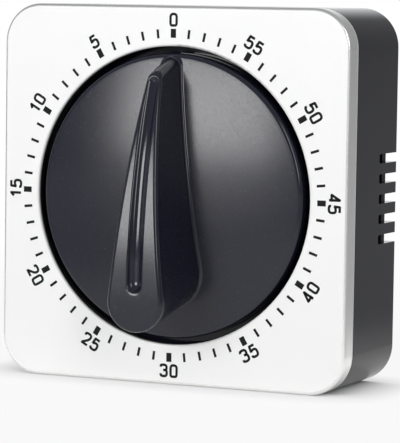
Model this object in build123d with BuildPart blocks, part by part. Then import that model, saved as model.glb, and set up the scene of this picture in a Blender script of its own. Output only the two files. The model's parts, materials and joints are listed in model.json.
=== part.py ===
from build123d import *
import os
from math import atan2, cos, degrees, hypot, radians, sin, sqrt

os.makedirs("parts", exist_ok=True)

# Case, in millimetres. Depths are counted from the face towards the back.
CASE_WIDTH = 80.0
CASE_HEIGHT = 80.0
CORNER_R = 8.3
WALL = 2.25
FRONT_WALL = 2.0

# Face cap
CAP_SHEET = 0.6
CAP_FLANGE = 4.35
CAP_EDGE_R = 0.75
CAP_FIT = 0.05
CAP_SHADOW_GAP = 0.25
FACE_BORDER = 8.5
LIP_DEPTH = 1.9
LIP_EDGE_R = 0.5

# Well for the knob disc
WELL_FIT = 0.3
WELL_WALL = 1.8
WELL_DEPTH = 4.6
WELL_FLOOR = 1.8

# Sound notches in the right side
NOTCH_COUNT = 5
NOTCH_STEP = 4.27
NOTCH_WIDTH = 1.95
NOTCH_LENGTH = 9.85
NOTCH_CORNER_R = 0.5

# Back cover, screws and magnets
COVER_THICK = 2.0
COVER_FIT = 0.15
COVER_ROOM = 2.3
SCREW_INSET = 7.7
BOSS_R = 3.0
SCREW_R = 1.25
SCREW_FIT = 0.05
SCREW_LENGTH = 9.0
HEAD_R = 2.3
HEAD_H = 1.1
HEAD_FIT = 0.25
DRIVE_WIDTH = 0.6
DRIVE_DEPTH = 0.5
MAGNET_R = 6.0
MAGNET_THICK = 1.5
MAGNET_INSET = 14.0
MAGNET_FIT = 0.1
MAGNET_BOSS_WALL = 0.9
MAGNET_SINK = 0.1

# Knob disc
DISC_GAP = 1.4
DISC_EDGE_R = 1.2
DISC_RIM_RISE = 0.2
DISC_CROWN = 3.0
DISC_THICK = 2.0
SKIRT_DEPTH = 3.4
SKIRT_WALL = 1.8

# Knob grip: outline where it meets the disc, and how it narrows and leans to its top
GRIP_REACH = 18.0
NOSE_INSET = 2.8
NOSE_R = 2.13
NOSE_TOP_R = 1.34
NOSE_SHIFT = 5.7
TAIL_INSET = 15.24
TAIL_R = 8.19
TAIL_TOP_R = 6.23
TAIL_SHIFT = 6.54
ARCH_R = 130.0
ARCH_TOP = 17.35
ARCH_SHIFT = 5.14
GRIP_EDGE = 0.5
GROOVE_R = 1.7
GROOVE_NOSE_INSET = 4.1
GROOVE_NOSE_DEPTH = 0.45
GROOVE_TAIL_SHIFT = 2.34
GROOVE_TAIL_DEPTH = 1.25
GRIP_WALL = 1.8
CORE_INSET = 15.7
CORE_NOSE_R = 1.2
HUB_R = 4.2
HUB_BOTTOM = 5.6
HUB_FIT = 0.6

# Main arbor
ARBOR_R = 2.0
ARBOR_FLAT = 0.5
ARBOR_FRONT = 8.0
ARBOR_BACK = 0.4
RUN_FIT = 0.05
PRESS_FIT = 0.01

# Movement plates
PLATE_THICK = 1.0
PLATE_HALF = 25.0
PLATE_LOW = -29.4
PLATE_HIGH = 22.0
PLATE_CORNER_R = 5.0
LAYER_GAP = 0.4
PILLAR_X = 21.5
PILLAR_HIGH = 18.0
PILLAR_LOW = -25.5
PILLAR_R = 2.0
PILLAR_SCREW_R = 1.0
PILLAR_SCREW_LENGTH = 4.0
PILLAR_HEAD_R = 2.0
PILLAR_HEAD_H = 0.8
EAR_X = 28.0
EAR_HIGH = 12.0
EAR_LOW = -17.5
EAR_R = 2.4
EAR_SCREW_R = 1.0
EAR_SCREW_LENGTH = 2.6
EAR_HEAD_R = 2.0
EAR_HEAD_H = 1.0

# Wheel train
FULL_TURN = 360.0
GREAT_MODULE = 0.5
TRAIN_MODULE = 0.4
WHEEL_TEETH = 60
PINION_LEAVES = 12
GREAT_THICK = 1.0
WHEEL_THICK = 0.8
PINION_MARGIN = 0.2
SECOND_ANGLE = 215.0
THIRD_ANGLE = -28.0
ESCAPE_ANGLE = 0.0
PIVOT_R = 0.7
STAFF_R = 1.0
PIVOT_END = 0.3
PIVOT_SHAKE = 0.15
LIGHT_COUNT = 4
LIGHT_REACH = 6.2
LIGHT_R = 2.6

# Tooth form, counted in modules
TOOTH_HIGH = 0.85
TOOTH_LOW = 1.2
TOOTH_PITCH_HALF = 0.62
TOOTH_TIP_HALF = 0.3
TOOTH_ROOT_HALF = 0.85
LEAF_PITCH_HALF = 0.58
LEAF_TIP_HALF = 0.24
LEAF_ROOT_HALF = 0.62

# Escape wheel, pallets and balance
ESCAPE_TEETH = 30
ESCAPE_R = 6.0
ESCAPE_TOOTH = 1.1
ESCAPE_LEAN_ANGLE = 8.0
ESCAPE_THICK = 0.7
PALLET_REACH = 8.6
PALLET_ANGLE = -100.0
PALLET_THICK = 0.7
PALLET_PIN_R = 0.25
PALLET_GAP = 0.35
PALLET_HALF_ANGLE = 42.0
PALLET_HUB_R = 1.9
PALLET_ARM = 1.4
BALANCE_R = 4.2
BALANCE_RING = 1.2
BALANCE_THICK = 1.6
BALANCE_BAR = 1.8

# Ratchet, click, stop and spring on the main arbor
RATCHET_TEETH = 24
RATCHET_R = 6.0
RATCHET_TOOTH = 0.9
RATCHET_LEAN_ANGLE = 11.0
RATCHET_THICK = 0.8
CLICK_REACH = 10.0
CLICK_ANGLE = 300.0
CLICK_PIN_R = 0.6
CLICK_HEAD_R = 1.4
CLICK_TIP_GAP = 0.12
CLICK_TIP_R = 0.35
CLICK_TIP_ANGLE = 40.0
STOP_REACH = 13.6
STOP_R = 0.6
STOP_ANGLE = 90.0
STOP_GAP = 0.15
SPRING_WIDTH = 2.4
SPRING_SHEET = 0.35
SPRING_STEP = 2.3
SPRING_HALF_TURNS = 8
SPRING_POST_R = 0.8

# Bell and hammer
BELL_X = 0.0
BELL_Z = 8.0
BELL_R = 20.0
BELL_SHEET = 0.8
BELL_LIFT = 1.2
BELL_RIM = 1.0
BELL_RISE = 1.5
BELL_SHOULDER = 6.0
BELL_POST_R = 2.0
BELL_SCREW_R = 1.2
BELL_SCREW_LENGTH = 2.8
BELL_HEAD_R = 2.6
BELL_HEAD_H = 0.6
HAMMER_REACH = 11.0
HAMMER_ANGLE = 25.0
HAMMER_HEAD_R = 1.6
HAMMER_GAP = 0.5
HAMMER_HEAD_ANGLE = -15.0
HAMMER_ARM_THICK = 0.8
HAMMER_HEAD_LENGTH = 1.4
HAMMER_ARM_WIDTH = 2.2
HAMMER_HUB_R = 2.2
TAIL_THICK = 0.7
TAIL_TIP_R = 0.6
CATCH_GAP = 0.3

# Release cam and lever
CAM_R = 7.0
CAM_NOTCH_DEPTH = 1.6
CAM_NOTCH_WIDTH = 3.0
CAM_GAP = 0.55
CAM_THICK = 0.9
LEVER_X = 18.0
LEVER_Z = 9.0
LEVER_HUB_R = 2.2
LEVER_STUD_R = 1.0
LEVER_WIDTH = 2.2
LEVER_NOSE_R = 0.8
LEVER_NOSE_GAP = 0.3
LEVER_NOSE_ANGLE = 12.0
FINGER_X = 20.0
FINGER_Z = -8.0
FINGER_R = 0.6
FINGER_WINDOW_R = 3.0

# Depths of the layers, from the well's floor to the rear of the case
FLOOR_BACK = WELL_DEPTH + WELL_FLOOR
CAM_D = FLOOR_BACK + CAM_GAP
FRONT_PLATE_D = CAM_D + CAM_THICK + CAM_GAP
FRONT_PLATE_BACK = FRONT_PLATE_D + PLATE_THICK
SECOND_WHEEL_D = FRONT_PLATE_BACK + LAYER_GAP
SPRING_D = SECOND_WHEEL_D + WHEEL_THICK + LAYER_GAP
PALLET_D = SPRING_D
ESCAPE_D = PALLET_D + PALLET_THICK + LAYER_GAP
BALANCE_D = ESCAPE_D + ESCAPE_THICK + PIVOT_END + LAYER_GAP
RATCHET_D = SPRING_D + SPRING_WIDTH + LAYER_GAP
GREAT_D = RATCHET_D + RATCHET_THICK + LAYER_GAP / 2
THIRD_WHEEL_D = GREAT_D + GREAT_THICK + PINION_MARGIN + LAYER_GAP
REAR_PLATE_D = THIRD_WHEEL_D + WHEEL_THICK + PINION_MARGIN + LAYER_GAP
REAR_PLATE_BACK = REAR_PLATE_D + PLATE_THICK
HAMMER_D = REAR_PLATE_BACK + LAYER_GAP
BELL_D = REAR_PLATE_BACK + BELL_LIFT
BELL_TOP = BELL_D + BELL_RIM + BELL_RISE
COVER_D = BELL_TOP + BELL_HEAD_H + COVER_ROOM
CASE_DEPTH = COVER_D + COVER_THICK

# Hole, well and knob follow the case
HOLE_R = min(CASE_WIDTH, CASE_HEIGHT) / 2 - FACE_BORDER
WELL_R = HOLE_R + CAP_SHEET + WELL_FIT
DISC_R = HOLE_R - DISC_GAP
NOSE_Z = DISC_R - NOSE_INSET
TAIL_Z = TAIL_INSET - DISC_R
ARCH_Z = TAIL_Z - ARCH_SHIFT
GROOVE_NOSE_Z = NOSE_Z - GROOVE_NOSE_INSET
GROOVE_TAIL_Z = TAIL_Z - GROOVE_TAIL_SHIFT
CORE_NOSE_Z = NOSE_Z - CORE_INSET
BOSS_X = CASE_WIDTH / 2 - SCREW_INSET
BOSS_Z = CASE_HEIGHT / 2 - SCREW_INSET
MAGNET_X = CASE_WIDTH / 2 - MAGNET_INSET
SECOND_SPAN = GREAT_MODULE * (WHEEL_TEETH + PINION_LEAVES) / 2
TRAIN_SPAN = TRAIN_MODULE * (WHEEL_TEETH + PINION_LEAVES) / 2


def polar(start, reach, angle):
    """Point at a distance and angle from another point of the dial plane."""
    x = start[0] + reach * cos(radians(angle))
    z = start[1] + reach * sin(radians(angle))
    return (x, z)


# Places on the dial plane, from the dial axis
MAIN = (0.0, 0.0)
SECOND = polar(MAIN, SECOND_SPAN, SECOND_ANGLE)
THIRD = polar(SECOND, TRAIN_SPAN, THIRD_ANGLE)
ESCAPE = polar(THIRD, TRAIN_SPAN, ESCAPE_ANGLE)
PALLET = polar(ESCAPE, PALLET_REACH, PALLET_ANGLE)
HAMMER = polar(ESCAPE, HAMMER_REACH, HAMMER_ANGLE)
BELL = (BELL_X, BELL_Z)
HAMMER_HEAD = polar(BELL, BELL_R + HAMMER_GAP + HAMMER_HEAD_R, HAMMER_HEAD_ANGLE)
LEVER = (LEVER_X, LEVER_Z)
FINGER = (FINGER_X, FINGER_Z)
STOP = polar(MAIN, STOP_REACH, STOP_ANGLE)
PIN_STEP = degrees((2 * STOP_R + STOP_GAP) / STOP_REACH)
PIN = polar(MAIN, STOP_REACH, STOP_ANGLE + PIN_STEP)
CLICK = polar(MAIN, CLICK_REACH, CLICK_ANGLE)
SPRING_START_R = ARBOR_R + SPRING_STEP / 4 + PRESS_FIT
SPRING_END = SPRING_STEP / 4 + SPRING_START_R + SPRING_STEP * (SPRING_HALF_TURNS - 1) / 2
SPRING_POST = (SPRING_END + SPRING_SHEET + SPRING_POST_R + PRESS_FIT, 0.0)
BOSSES = [(-BOSS_X, -BOSS_Z), (BOSS_X, -BOSS_Z), (-BOSS_X, BOSS_Z), (BOSS_X, BOSS_Z)]
PILLARS = [
    (-PILLAR_X, PILLAR_LOW),
    (PILLAR_X, PILLAR_LOW),
    (-PILLAR_X, PILLAR_HIGH),
    (PILLAR_X, PILLAR_HIGH),
]
EARS = [(-EAR_X, EAR_LOW), (EAR_X, EAR_LOW), (-EAR_X, EAR_HIGH), (EAR_X, EAR_HIGH)]
MAGNETS = [(-MAGNET_X, 0.0), (MAGNET_X, 0.0)]
PIVOTS = [SECOND, THIRD, ESCAPE, PALLET, HAMMER]


def at_depth(depth, point=MAIN):
    """Plane at a depth behind the face, centred on a point; it looks to the front."""
    return Plane(
        origin=(point[0], depth - CASE_DEPTH / 2, CASE_HEIGHT / 2 + point[1]),
        x_dir=(1, 0, 0),
        z_dir=(0, -1, 0),
    )


def side_plane():
    """Upright plane through the dial axis: x is the depth, y is the height."""
    return Plane(
        origin=(0, -CASE_DEPTH / 2, CASE_HEIGHT / 2),
        x_dir=(0, 1, 0),
        z_dir=(1, 0, 0),
    )


def axis_at(point):
    """Axis along the depth through a point of the dial plane."""
    return Axis((point[0], 0, CASE_HEIGHT / 2 + point[1]), (0, 1, 0))


def toothed(teeth, module, high, low, pitch_half, tip_half, root_half, turn):
    """Corner points of a toothed outline; one tooth points along the turn."""
    pitch_r = teeth * module / 2
    tip_r = pitch_r + high * module
    root_r = pitch_r - low * module
    points = []
    for tooth in range(teeth):
        middle = radians(turn + FULL_TURN * tooth / teeth)
        steps = [
            (root_r, -root_half * module / root_r),
            (pitch_r, -pitch_half * module / pitch_r),
            (tip_r, -tip_half * module / tip_r),
            (tip_r, tip_half * module / tip_r),
            (pitch_r, pitch_half * module / pitch_r),
            (root_r, root_half * module / root_r),
        ]
        for radius, swing in steps:
            points.append((radius * cos(middle + swing), radius * sin(middle + swing)))
    return points


def wheel_points(module, turn):
    """Outline of a sixty-tooth wheel."""
    return toothed(
        WHEEL_TEETH,
        module,
        TOOTH_HIGH,
        TOOTH_LOW,
        TOOTH_PITCH_HALF,
        TOOTH_TIP_HALF,
        TOOTH_ROOT_HALF,
        turn,
    )


def leaf_points(module, turn):
    """Outline of a pinion, turned so that a gap meets the wheel's tooth."""
    return toothed(
        PINION_LEAVES,
        module,
        TOOTH_HIGH,
        TOOTH_LOW,
        LEAF_PITCH_HALF,
        LEAF_TIP_HALF,
        LEAF_ROOT_HALF,
        turn + FULL_TURN / 2 + FULL_TURN / 2 / PINION_LEAVES,
    )


def saw_points(teeth, radius, depth, lean):
    """Outline of a ratchet or escape wheel with leaning teeth."""
    points = []
    for tooth in range(teeth):
        middle = FULL_TURN * tooth / teeth
        points.append(polar(MAIN, radius - depth, middle))
        points.append(polar(MAIN, radius, middle + lean))
    return points


def draw_disc(point, front, back, radius):
    """Round bar along the depth between two depths."""
    with BuildSketch(at_depth(back, point)) as outline:
        Circle(radius)
    extrude(outline.sketch, amount=back - front)


def draw_outline(points, point, front, back):
    """Plate with a toothed outline between two depths."""
    with BuildSketch(at_depth(back, point)) as outline:
        with BuildLine():
            Polyline(*points, close=True)
        make_face()
    extrude(outline.sketch, amount=back - front)


def draw_bar(start, start_r, end, end_r, front, back):
    """Tapered flat bar with round ends between two points."""
    with BuildSketch(at_depth(back)) as outline:
        with Locations(start):
            Circle(start_r)
        with Locations(end):
            Circle(end_r)
        make_hull()
    extrude(outline.sketch, amount=back - front)


def cut_bore(point, radius):
    """Hole along the whole depth."""
    with BuildSketch(at_depth(CASE_DEPTH, point)) as outline:
        Circle(radius)
    extrude(outline.sketch, amount=2 * CASE_DEPTH, mode=Mode.SUBTRACT)


def draw_staff(point):
    """Staff between the plates with a thinner pivot at each end."""
    draw_disc(point, FRONT_PLATE_BACK + PIVOT_SHAKE, REAR_PLATE_D - PIVOT_SHAKE, STAFF_R)
    draw_disc(point, FRONT_PLATE_D - PIVOT_END, REAR_PLATE_BACK + PIVOT_END, PIVOT_R)


# Face cap: a pan of pale sheet metal with a folded edge and a lipped hole
with BuildPart() as face_cap:
    with BuildSketch(at_depth(CAP_FLANGE)):
        RectangleRounded(CASE_WIDTH, CASE_HEIGHT, CORNER_R)
    extrude(amount=CAP_FLANGE)
    fillet(face_cap.faces().sort_by(Axis.Y)[0].edges(), CAP_EDGE_R)
    with BuildSketch(at_depth(CAP_FLANGE)):
        RectangleRounded(
            CASE_WIDTH - 2 * CAP_SHEET,
            CASE_HEIGHT - 2 * CAP_SHEET,
            CORNER_R - CAP_SHEET,
        )
    extrude(amount=CAP_FLANGE - CAP_SHEET, mode=Mode.SUBTRACT)
    with BuildSketch(at_depth(LIP_DEPTH)):
        Circle(HOLE_R + CAP_SHEET)
    extrude(amount=LIP_DEPTH - CAP_SHEET / 2)
    with BuildSketch(at_depth(CAP_FLANGE)):
        Circle(HOLE_R)
    extrude(amount=CAP_FLANGE, mode=Mode.SUBTRACT)
    lip_edge = face_cap.edges().filter_by(GeomType.CIRCLE).sort_by(Axis.Y)[0]
    fillet(lip_edge, LIP_EDGE_R)
face_cap.part.label = "face_cap"
export_step(face_cap.part, "parts/face_cap.step")

# Case body: black tub, open at the back, with the knob's well in its front
with BuildPart() as case_body:
    BODY_D = CAP_SHEET + CAP_FIT
    STEP_D = CAP_FLANGE + CAP_SHADOW_GAP
    INSET = CAP_SHEET + CAP_FIT
    with BuildSketch(at_depth(CASE_DEPTH)):
        RectangleRounded(CASE_WIDTH, CASE_HEIGHT, CORNER_R)
    extrude(amount=CASE_DEPTH - STEP_D)
    with BuildSketch(at_depth(STEP_D)):
        RectangleRounded(CASE_WIDTH - 2 * INSET, CASE_HEIGHT - 2 * INSET, CORNER_R - INSET)
    extrude(amount=STEP_D - BODY_D)
    with BuildSketch(at_depth(CASE_DEPTH)):
        RectangleRounded(CASE_WIDTH - 2 * WALL, CASE_HEIGHT - 2 * WALL, CORNER_R - WALL)
    extrude(amount=CASE_DEPTH - BODY_D - FRONT_WALL, mode=Mode.SUBTRACT)
    with BuildSketch(at_depth(FLOOR_BACK)):
        Circle(WELL_R + WELL_WALL)
    extrude(amount=FLOOR_BACK - BODY_D)
    with BuildSketch(at_depth(COVER_D)):
        with Locations(*BOSSES):
            Circle(BOSS_R)
    extrude(amount=COVER_D - BODY_D - FRONT_WALL / 2)
    with BuildSketch(at_depth(FRONT_PLATE_D)):
        with Locations(*EARS):
            Circle(EAR_R)
    extrude(amount=FRONT_PLATE_D - BODY_D - FRONT_WALL / 2)
    with BuildSketch(at_depth(WELL_DEPTH)):
        Circle(WELL_R)
    extrude(amount=WELL_DEPTH, mode=Mode.SUBTRACT)
    with BuildSketch(at_depth(FLOOR_BACK)):
        Circle(HUB_R + HUB_FIT)
    extrude(amount=FLOOR_BACK, mode=Mode.SUBTRACT)
    with BuildSketch(at_depth(COVER_D)):
        with Locations(*BOSSES):
            Circle(SCREW_R + SCREW_FIT)
    extrude(amount=SCREW_LENGTH, mode=Mode.SUBTRACT)
    with BuildSketch(at_depth(FRONT_PLATE_D)):
        with Locations(*EARS):
            Circle(EAR_SCREW_R + SCREW_FIT)
    extrude(amount=EAR_SCREW_LENGTH, mode=Mode.SUBTRACT)
    SIDE = Plane(
        origin=(CASE_WIDTH / 2, CASE_DEPTH / 2 - NOTCH_LENGTH / 2, CASE_HEIGHT / 2),
        x_dir=(0, 1, 0),
        z_dir=(1, 0, 0),
    )
    with BuildSketch(SIDE):
        with GridLocations(0, NOTCH_STEP, 1, NOTCH_COUNT):
            RectangleRounded(NOTCH_LENGTH, NOTCH_WIDTH, NOTCH_CORNER_R)
        with Locations((NOTCH_LENGTH / 4, 0)):
            with GridLocations(0, NOTCH_STEP, 1, NOTCH_COUNT):
                Rectangle(NOTCH_LENGTH / 2, NOTCH_WIDTH)
    extrude(amount=-WALL, mode=Mode.SUBTRACT)
case_body.part.label = "case_body"
export_step(case_body.part, "parts/case_body.step")

# Back cover: a plate let into the rear of the case
COVER_W = CASE_WIDTH - 2 * WALL - 2 * COVER_FIT
COVER_H = CASE_HEIGHT - 2 * WALL - 2 * COVER_FIT
POCKET_D = CASE_DEPTH - MAGNET_THICK - MAGNET_SINK
with BuildPart() as back_cover:
    with BuildSketch(at_depth(CASE_DEPTH)):
        RectangleRounded(COVER_W, COVER_H, CORNER_R - WALL - COVER_FIT)
    extrude(amount=COVER_THICK)
    with BuildSketch(at_depth(COVER_D + COVER_THICK / 2)):
        with Locations(*MAGNETS):
            Circle(MAGNET_R + MAGNET_FIT + MAGNET_BOSS_WALL)
    extrude(amount=COVER_THICK / 2 + COVER_D - POCKET_D + MAGNET_BOSS_WALL)
    with BuildSketch(at_depth(CASE_DEPTH)):
        with Locations(*MAGNETS):
            Circle(MAGNET_R + MAGNET_FIT)
    extrude(amount=MAGNET_THICK + MAGNET_SINK, mode=Mode.SUBTRACT)
    with BuildSketch(at_depth(CASE_DEPTH)):
        with Locations(*BOSSES):
            Circle(SCREW_R + HEAD_FIT)
    extrude(amount=COVER_THICK, mode=Mode.SUBTRACT)
    with BuildSketch(at_depth(CASE_DEPTH)):
        with Locations(*BOSSES):
            Circle(HEAD_R + HEAD_FIT)
    extrude(amount=HEAD_H, mode=Mode.SUBTRACT)
back_cover.part.label = "back_cover"
export_step(back_cover.part, "parts/back_cover.step")

# Cover screws: four alike, sunk in the cover
with BuildPart() as cover_screws:
    with BuildSketch(at_depth(CASE_DEPTH)):
        with Locations(*BOSSES):
            Circle(HEAD_R)
    extrude(amount=HEAD_H)
    with BuildSketch(at_depth(CASE_DEPTH)):
        with Locations(*BOSSES):
            Rectangle(2 * HEAD_R - 2 * DRIVE_WIDTH, DRIVE_WIDTH)
            Rectangle(DRIVE_WIDTH, 2 * HEAD_R - 2 * DRIVE_WIDTH)
    extrude(amount=DRIVE_DEPTH, mode=Mode.SUBTRACT)
    with BuildSketch(at_depth(CASE_DEPTH - HEAD_H)):
        with Locations(*BOSSES):
            Circle(SCREW_R)
    extrude(amount=SCREW_LENGTH - HEAD_H)
cover_screws.part.label = "cover_screws"
export_step(cover_screws.part, "parts/cover_screws.step")

# Magnets: two flat discs let into the back cover
with BuildPart() as magnets:
    with BuildSketch(at_depth(CASE_DEPTH - MAGNET_SINK)):
        with Locations(*MAGNETS):
            Circle(MAGNET_R)
    extrude(amount=MAGNET_THICK)
magnets.part.label = "magnets"
export_step(magnets.part, "parts/magnets.step")

# Knob: domed disc and arched wing grip in one moulding
CROWN_R = (DISC_R**2 + DISC_CROWN**2) / (2 * DISC_CROWN)
DISC_TOP = DISC_RIM_RISE + DISC_CROWN
DOME_D = CROWN_R - DISC_TOP
HOLLOW_R = CROWN_R - DISC_THICK
ARCH_D = ARCH_R - ARCH_TOP


def dome_depth(radius, reach):
    """Depth of a round dome, centred on the dial axis, at a distance from the axis."""
    return DOME_D - sqrt(radius**2 - reach**2)


def draw_hull(plane, nose_z, nose_r, tail_z, tail_r):
    """Outline of the wing: a small and a large circle with their common tangents."""
    with BuildSketch(plane) as outline:
        with Locations((0, nose_z)):
            Circle(nose_r)
        with Locations((0, tail_z)):
            Circle(tail_r)
        make_hull()
    return outline.sketch


def cut_arch(radius):
    """Trim a part to a long arch over the knob."""
    with BuildSketch(side_plane()) as outline:
        with Locations((ARCH_D, ARCH_Z)):
            Circle(radius)
    extrude(outline.sketch, amount=CASE_WIDTH, both=True, mode=Mode.INTERSECT)


def groove_point(height, depth):
    """Point on the middle line of the groove's round channel."""
    line_r = ARCH_R - depth + GROOVE_R
    return (ARCH_D - sqrt(line_r**2 - (height - ARCH_Z) ** 2), height)


with BuildPart() as disc:
    with BuildSketch(side_plane()):
        with BuildLine():
            RIM_D = dome_depth(CROWN_R, DISC_R)
            INNER_R = DISC_R - SKIRT_WALL
            INNER_D = dome_depth(HOLLOW_R, INNER_R)
            ThreePointArc(
                (-DISC_TOP, 0),
                (dome_depth(CROWN_R, DISC_R / 2), DISC_R / 2),
                (RIM_D, DISC_R),
            )
            Polyline((RIM_D, DISC_R), (SKIRT_DEPTH, DISC_R), (SKIRT_DEPTH, INNER_R), (INNER_D, INNER_R))
            ThreePointArc(
                (INNER_D, INNER_R),
                (dome_depth(HOLLOW_R, INNER_R / 2), INNER_R / 2),
                (DISC_THICK - DISC_TOP, 0),
            )
            Line((DISC_THICK - DISC_TOP, 0), (-DISC_TOP, 0))
        profile = make_face()
        rim = profile.vertices().sort_by(Axis.Z)[-2:].sort_by(Axis.Y)[0]
        fillet(rim, DISC_EDGE_R)
    revolve(axis=axis_at(MAIN))
with BuildPart() as grip:
    base = draw_hull(at_depth(0), NOSE_Z, NOSE_R, TAIL_Z, TAIL_R)
    top_plane = at_depth(-GRIP_REACH)
    top = draw_hull(top_plane, NOSE_Z - NOSE_SHIFT, NOSE_TOP_R, TAIL_Z - TAIL_SHIFT, TAIL_TOP_R)
    loft([base, top], ruled=True)
    cut_arch(ARCH_R)
    crest = grip.faces().filter_by(GeomType.CYLINDER).sort_by(SortBy.AREA)[-1]
    chamfer(crest.edges(), GRIP_EDGE)
with BuildPart() as groove:
    with BuildLine(side_plane()) as channel:
        MID_Z = (GROOVE_NOSE_Z + GROOVE_TAIL_Z) / 2
        MID_DEPTH = (GROOVE_NOSE_DEPTH + GROOVE_TAIL_DEPTH) / 2
        ThreePointArc(
            groove_point(GROOVE_TAIL_Z, GROOVE_TAIL_DEPTH),
            groove_point(MID_Z, MID_DEPTH),
            groove_point(GROOVE_NOSE_Z, GROOVE_NOSE_DEPTH),
        )
    with BuildSketch(Plane(origin=channel.line @ 0, z_dir=channel.line % 0)):
        Circle(GROOVE_R)
    sweep(path=channel.line)
    with Locations(channel.line @ 0, channel.line @ 1):
        Sphere(GROOVE_R)
with BuildPart() as core:
    pocket = draw_hull(at_depth(0), CORE_NOSE_Z, CORE_NOSE_R, TAIL_Z, TAIL_TOP_R - GRIP_WALL)
    extrude(pocket, amount=GRIP_REACH)
    cut_arch(ARCH_R - GROOVE_TAIL_DEPTH - GRIP_WALL)
with BuildPart() as underside:
    draw_disc(MAIN, -DISC_TOP, SKIRT_DEPTH, INNER_R)
    with Locations(at_depth(DOME_D).location):
        Sphere(HOLLOW_R, mode=Mode.INTERSECT)
with BuildPart() as knob:
    add(grip.part)
    add(groove.part, mode=Mode.SUBTRACT)
    add(underside.part, mode=Mode.SUBTRACT)
    add(disc.part)
    add(core.part, mode=Mode.SUBTRACT)
    draw_disc(MAIN, -ARBOR_FRONT - GRIP_WALL, HUB_BOTTOM, HUB_R)
    with BuildSketch(at_depth(HUB_BOTTOM)):
        Circle(ARBOR_R + RUN_FIT)
        with Locations((2 * ARBOR_R - ARBOR_FLAT + RUN_FIT, 0)):
            Rectangle(2 * ARBOR_R, 2 * HUB_R, mode=Mode.SUBTRACT)
    extrude(amount=HUB_BOTTOM + ARBOR_FRONT + RUN_FIT, mode=Mode.SUBTRACT)
knob.part.label = "knob"
export_step(knob.part, "parts/knob.step")

# Main arbor with a flat for the knob
with BuildPart() as main_arbor:
    draw_disc(MAIN, -ARBOR_FRONT, REAR_PLATE_BACK + ARBOR_BACK, ARBOR_R)
    with BuildSketch(at_depth(HUB_BOTTOM)):
        with Locations((2 * ARBOR_R - ARBOR_FLAT, 0)):
            Rectangle(2 * ARBOR_R, 2 * HUB_R)
    extrude(amount=HUB_BOTTOM + ARBOR_FRONT, mode=Mode.SUBTRACT)
main_arbor.part.label = "main_arbor"
export_step(main_arbor.part, "parts/main_arbor.step")

# Release cam: disc with one notch, on the main arbor
with BuildPart() as release_cam:
    draw_disc(MAIN, CAM_D, CAM_D + CAM_THICK, CAM_R)
    with BuildSketch(at_depth(CAM_D + CAM_THICK)):
        with Locations(polar(MAIN, CAM_R, LEVER_NOSE_ANGLE)):
            Rectangle(2 * CAM_NOTCH_DEPTH, CAM_NOTCH_WIDTH, rotation=LEVER_NOSE_ANGLE)
    extrude(amount=CAM_THICK, mode=Mode.SUBTRACT)
    cut_bore(MAIN, ARBOR_R + PRESS_FIT)
release_cam.part.label = "release_cam"
export_step(release_cam.part, "parts/release_cam.step")

# Ratchet wheel on the main arbor
with BuildPart() as ratchet_wheel:
    saw = saw_points(RATCHET_TEETH, RATCHET_R, RATCHET_TOOTH, RATCHET_LEAN_ANGLE)
    draw_outline(saw, MAIN, RATCHET_D, RATCHET_D + RATCHET_THICK)
    cut_bore(MAIN, ARBOR_R + PRESS_FIT)
ratchet_wheel.part.label = "ratchet_wheel"
export_step(ratchet_wheel.part, "parts/ratchet_wheel.step")

# Great wheel
with BuildPart() as great_wheel:
    teeth = wheel_points(GREAT_MODULE, SECOND_ANGLE)
    draw_outline(teeth, MAIN, GREAT_D, GREAT_D + GREAT_THICK)
    cut_bore(MAIN, ARBOR_R + PRESS_FIT)
    cut_bore(PIN, STOP_R + PRESS_FIT)
    cut_bore(CLICK, CLICK_PIN_R + PRESS_FIT)
great_wheel.part.label = "great_wheel"
export_step(great_wheel.part, "parts/great_wheel.step")

# Stop pin in the great wheel
with BuildPart() as stop_pin:
    draw_disc(PIN, RATCHET_D, GREAT_D + GREAT_THICK, STOP_R)
stop_pin.part.label = "stop_pin"
export_step(stop_pin.part, "parts/stop_pin.step")

# Click pin in the great wheel, and the click that turns on it
with BuildPart() as click_pin:
    draw_disc(CLICK, RATCHET_D - PIVOT_END, GREAT_D + GREAT_THICK, CLICK_PIN_R)
click_pin.part.label = "click_pin"
export_step(click_pin.part, "parts/click_pin.step")

CLICK_TIP = polar(MAIN, RATCHET_R + CLICK_TIP_GAP + CLICK_TIP_R, CLICK_ANGLE - CLICK_TIP_ANGLE)
with BuildPart() as click:
    draw_bar(CLICK, CLICK_HEAD_R, CLICK_TIP, CLICK_TIP_R, RATCHET_D, RATCHET_D + RATCHET_THICK)
    cut_bore(CLICK, CLICK_PIN_R + RUN_FIT)
click.part.label = "click"
export_step(click.part, "parts/click.step")

# Mainspring: flat strip wound from the arbor to its post
with BuildPart() as mainspring:
    with BuildSketch(at_depth(SPRING_D + SPRING_WIDTH)):
        with BuildLine():
            for turn in range(SPRING_HALF_TURNS):
                side = 1 if turn % 2 == 0 else -1
                middle = -side * SPRING_STEP / 4
                reach = SPRING_START_R + turn * SPRING_STEP / 2
                for radius in (reach, reach + SPRING_SHEET):
                    ThreePointArc(
                        (middle + side * radius, 0),
                        (middle, side * radius),
                        (middle - side * radius, 0),
                    )
            first = SPRING_START_R - SPRING_STEP / 4
            Line((first, 0), (first + SPRING_SHEET, 0))
            Line((SPRING_END, 0), (SPRING_END + SPRING_SHEET, 0))
        make_face()
    extrude(amount=SPRING_WIDTH)
mainspring.part.label = "mainspring"
export_step(mainspring.part, "parts/mainspring.step")

# Posts fixed in the front plate
with BuildPart() as spring_post:
    draw_disc(SPRING_POST, FRONT_PLATE_D, SPRING_D + SPRING_WIDTH, SPRING_POST_R)
spring_post.part.label = "spring_post"
export_step(spring_post.part, "parts/spring_post.step")

with BuildPart() as stop_post:
    draw_disc(STOP, FRONT_PLATE_D, GREAT_D - PIVOT_END, STOP_R)
stop_post.part.label = "stop_post"
export_step(stop_post.part, "parts/stop_post.step")

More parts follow.
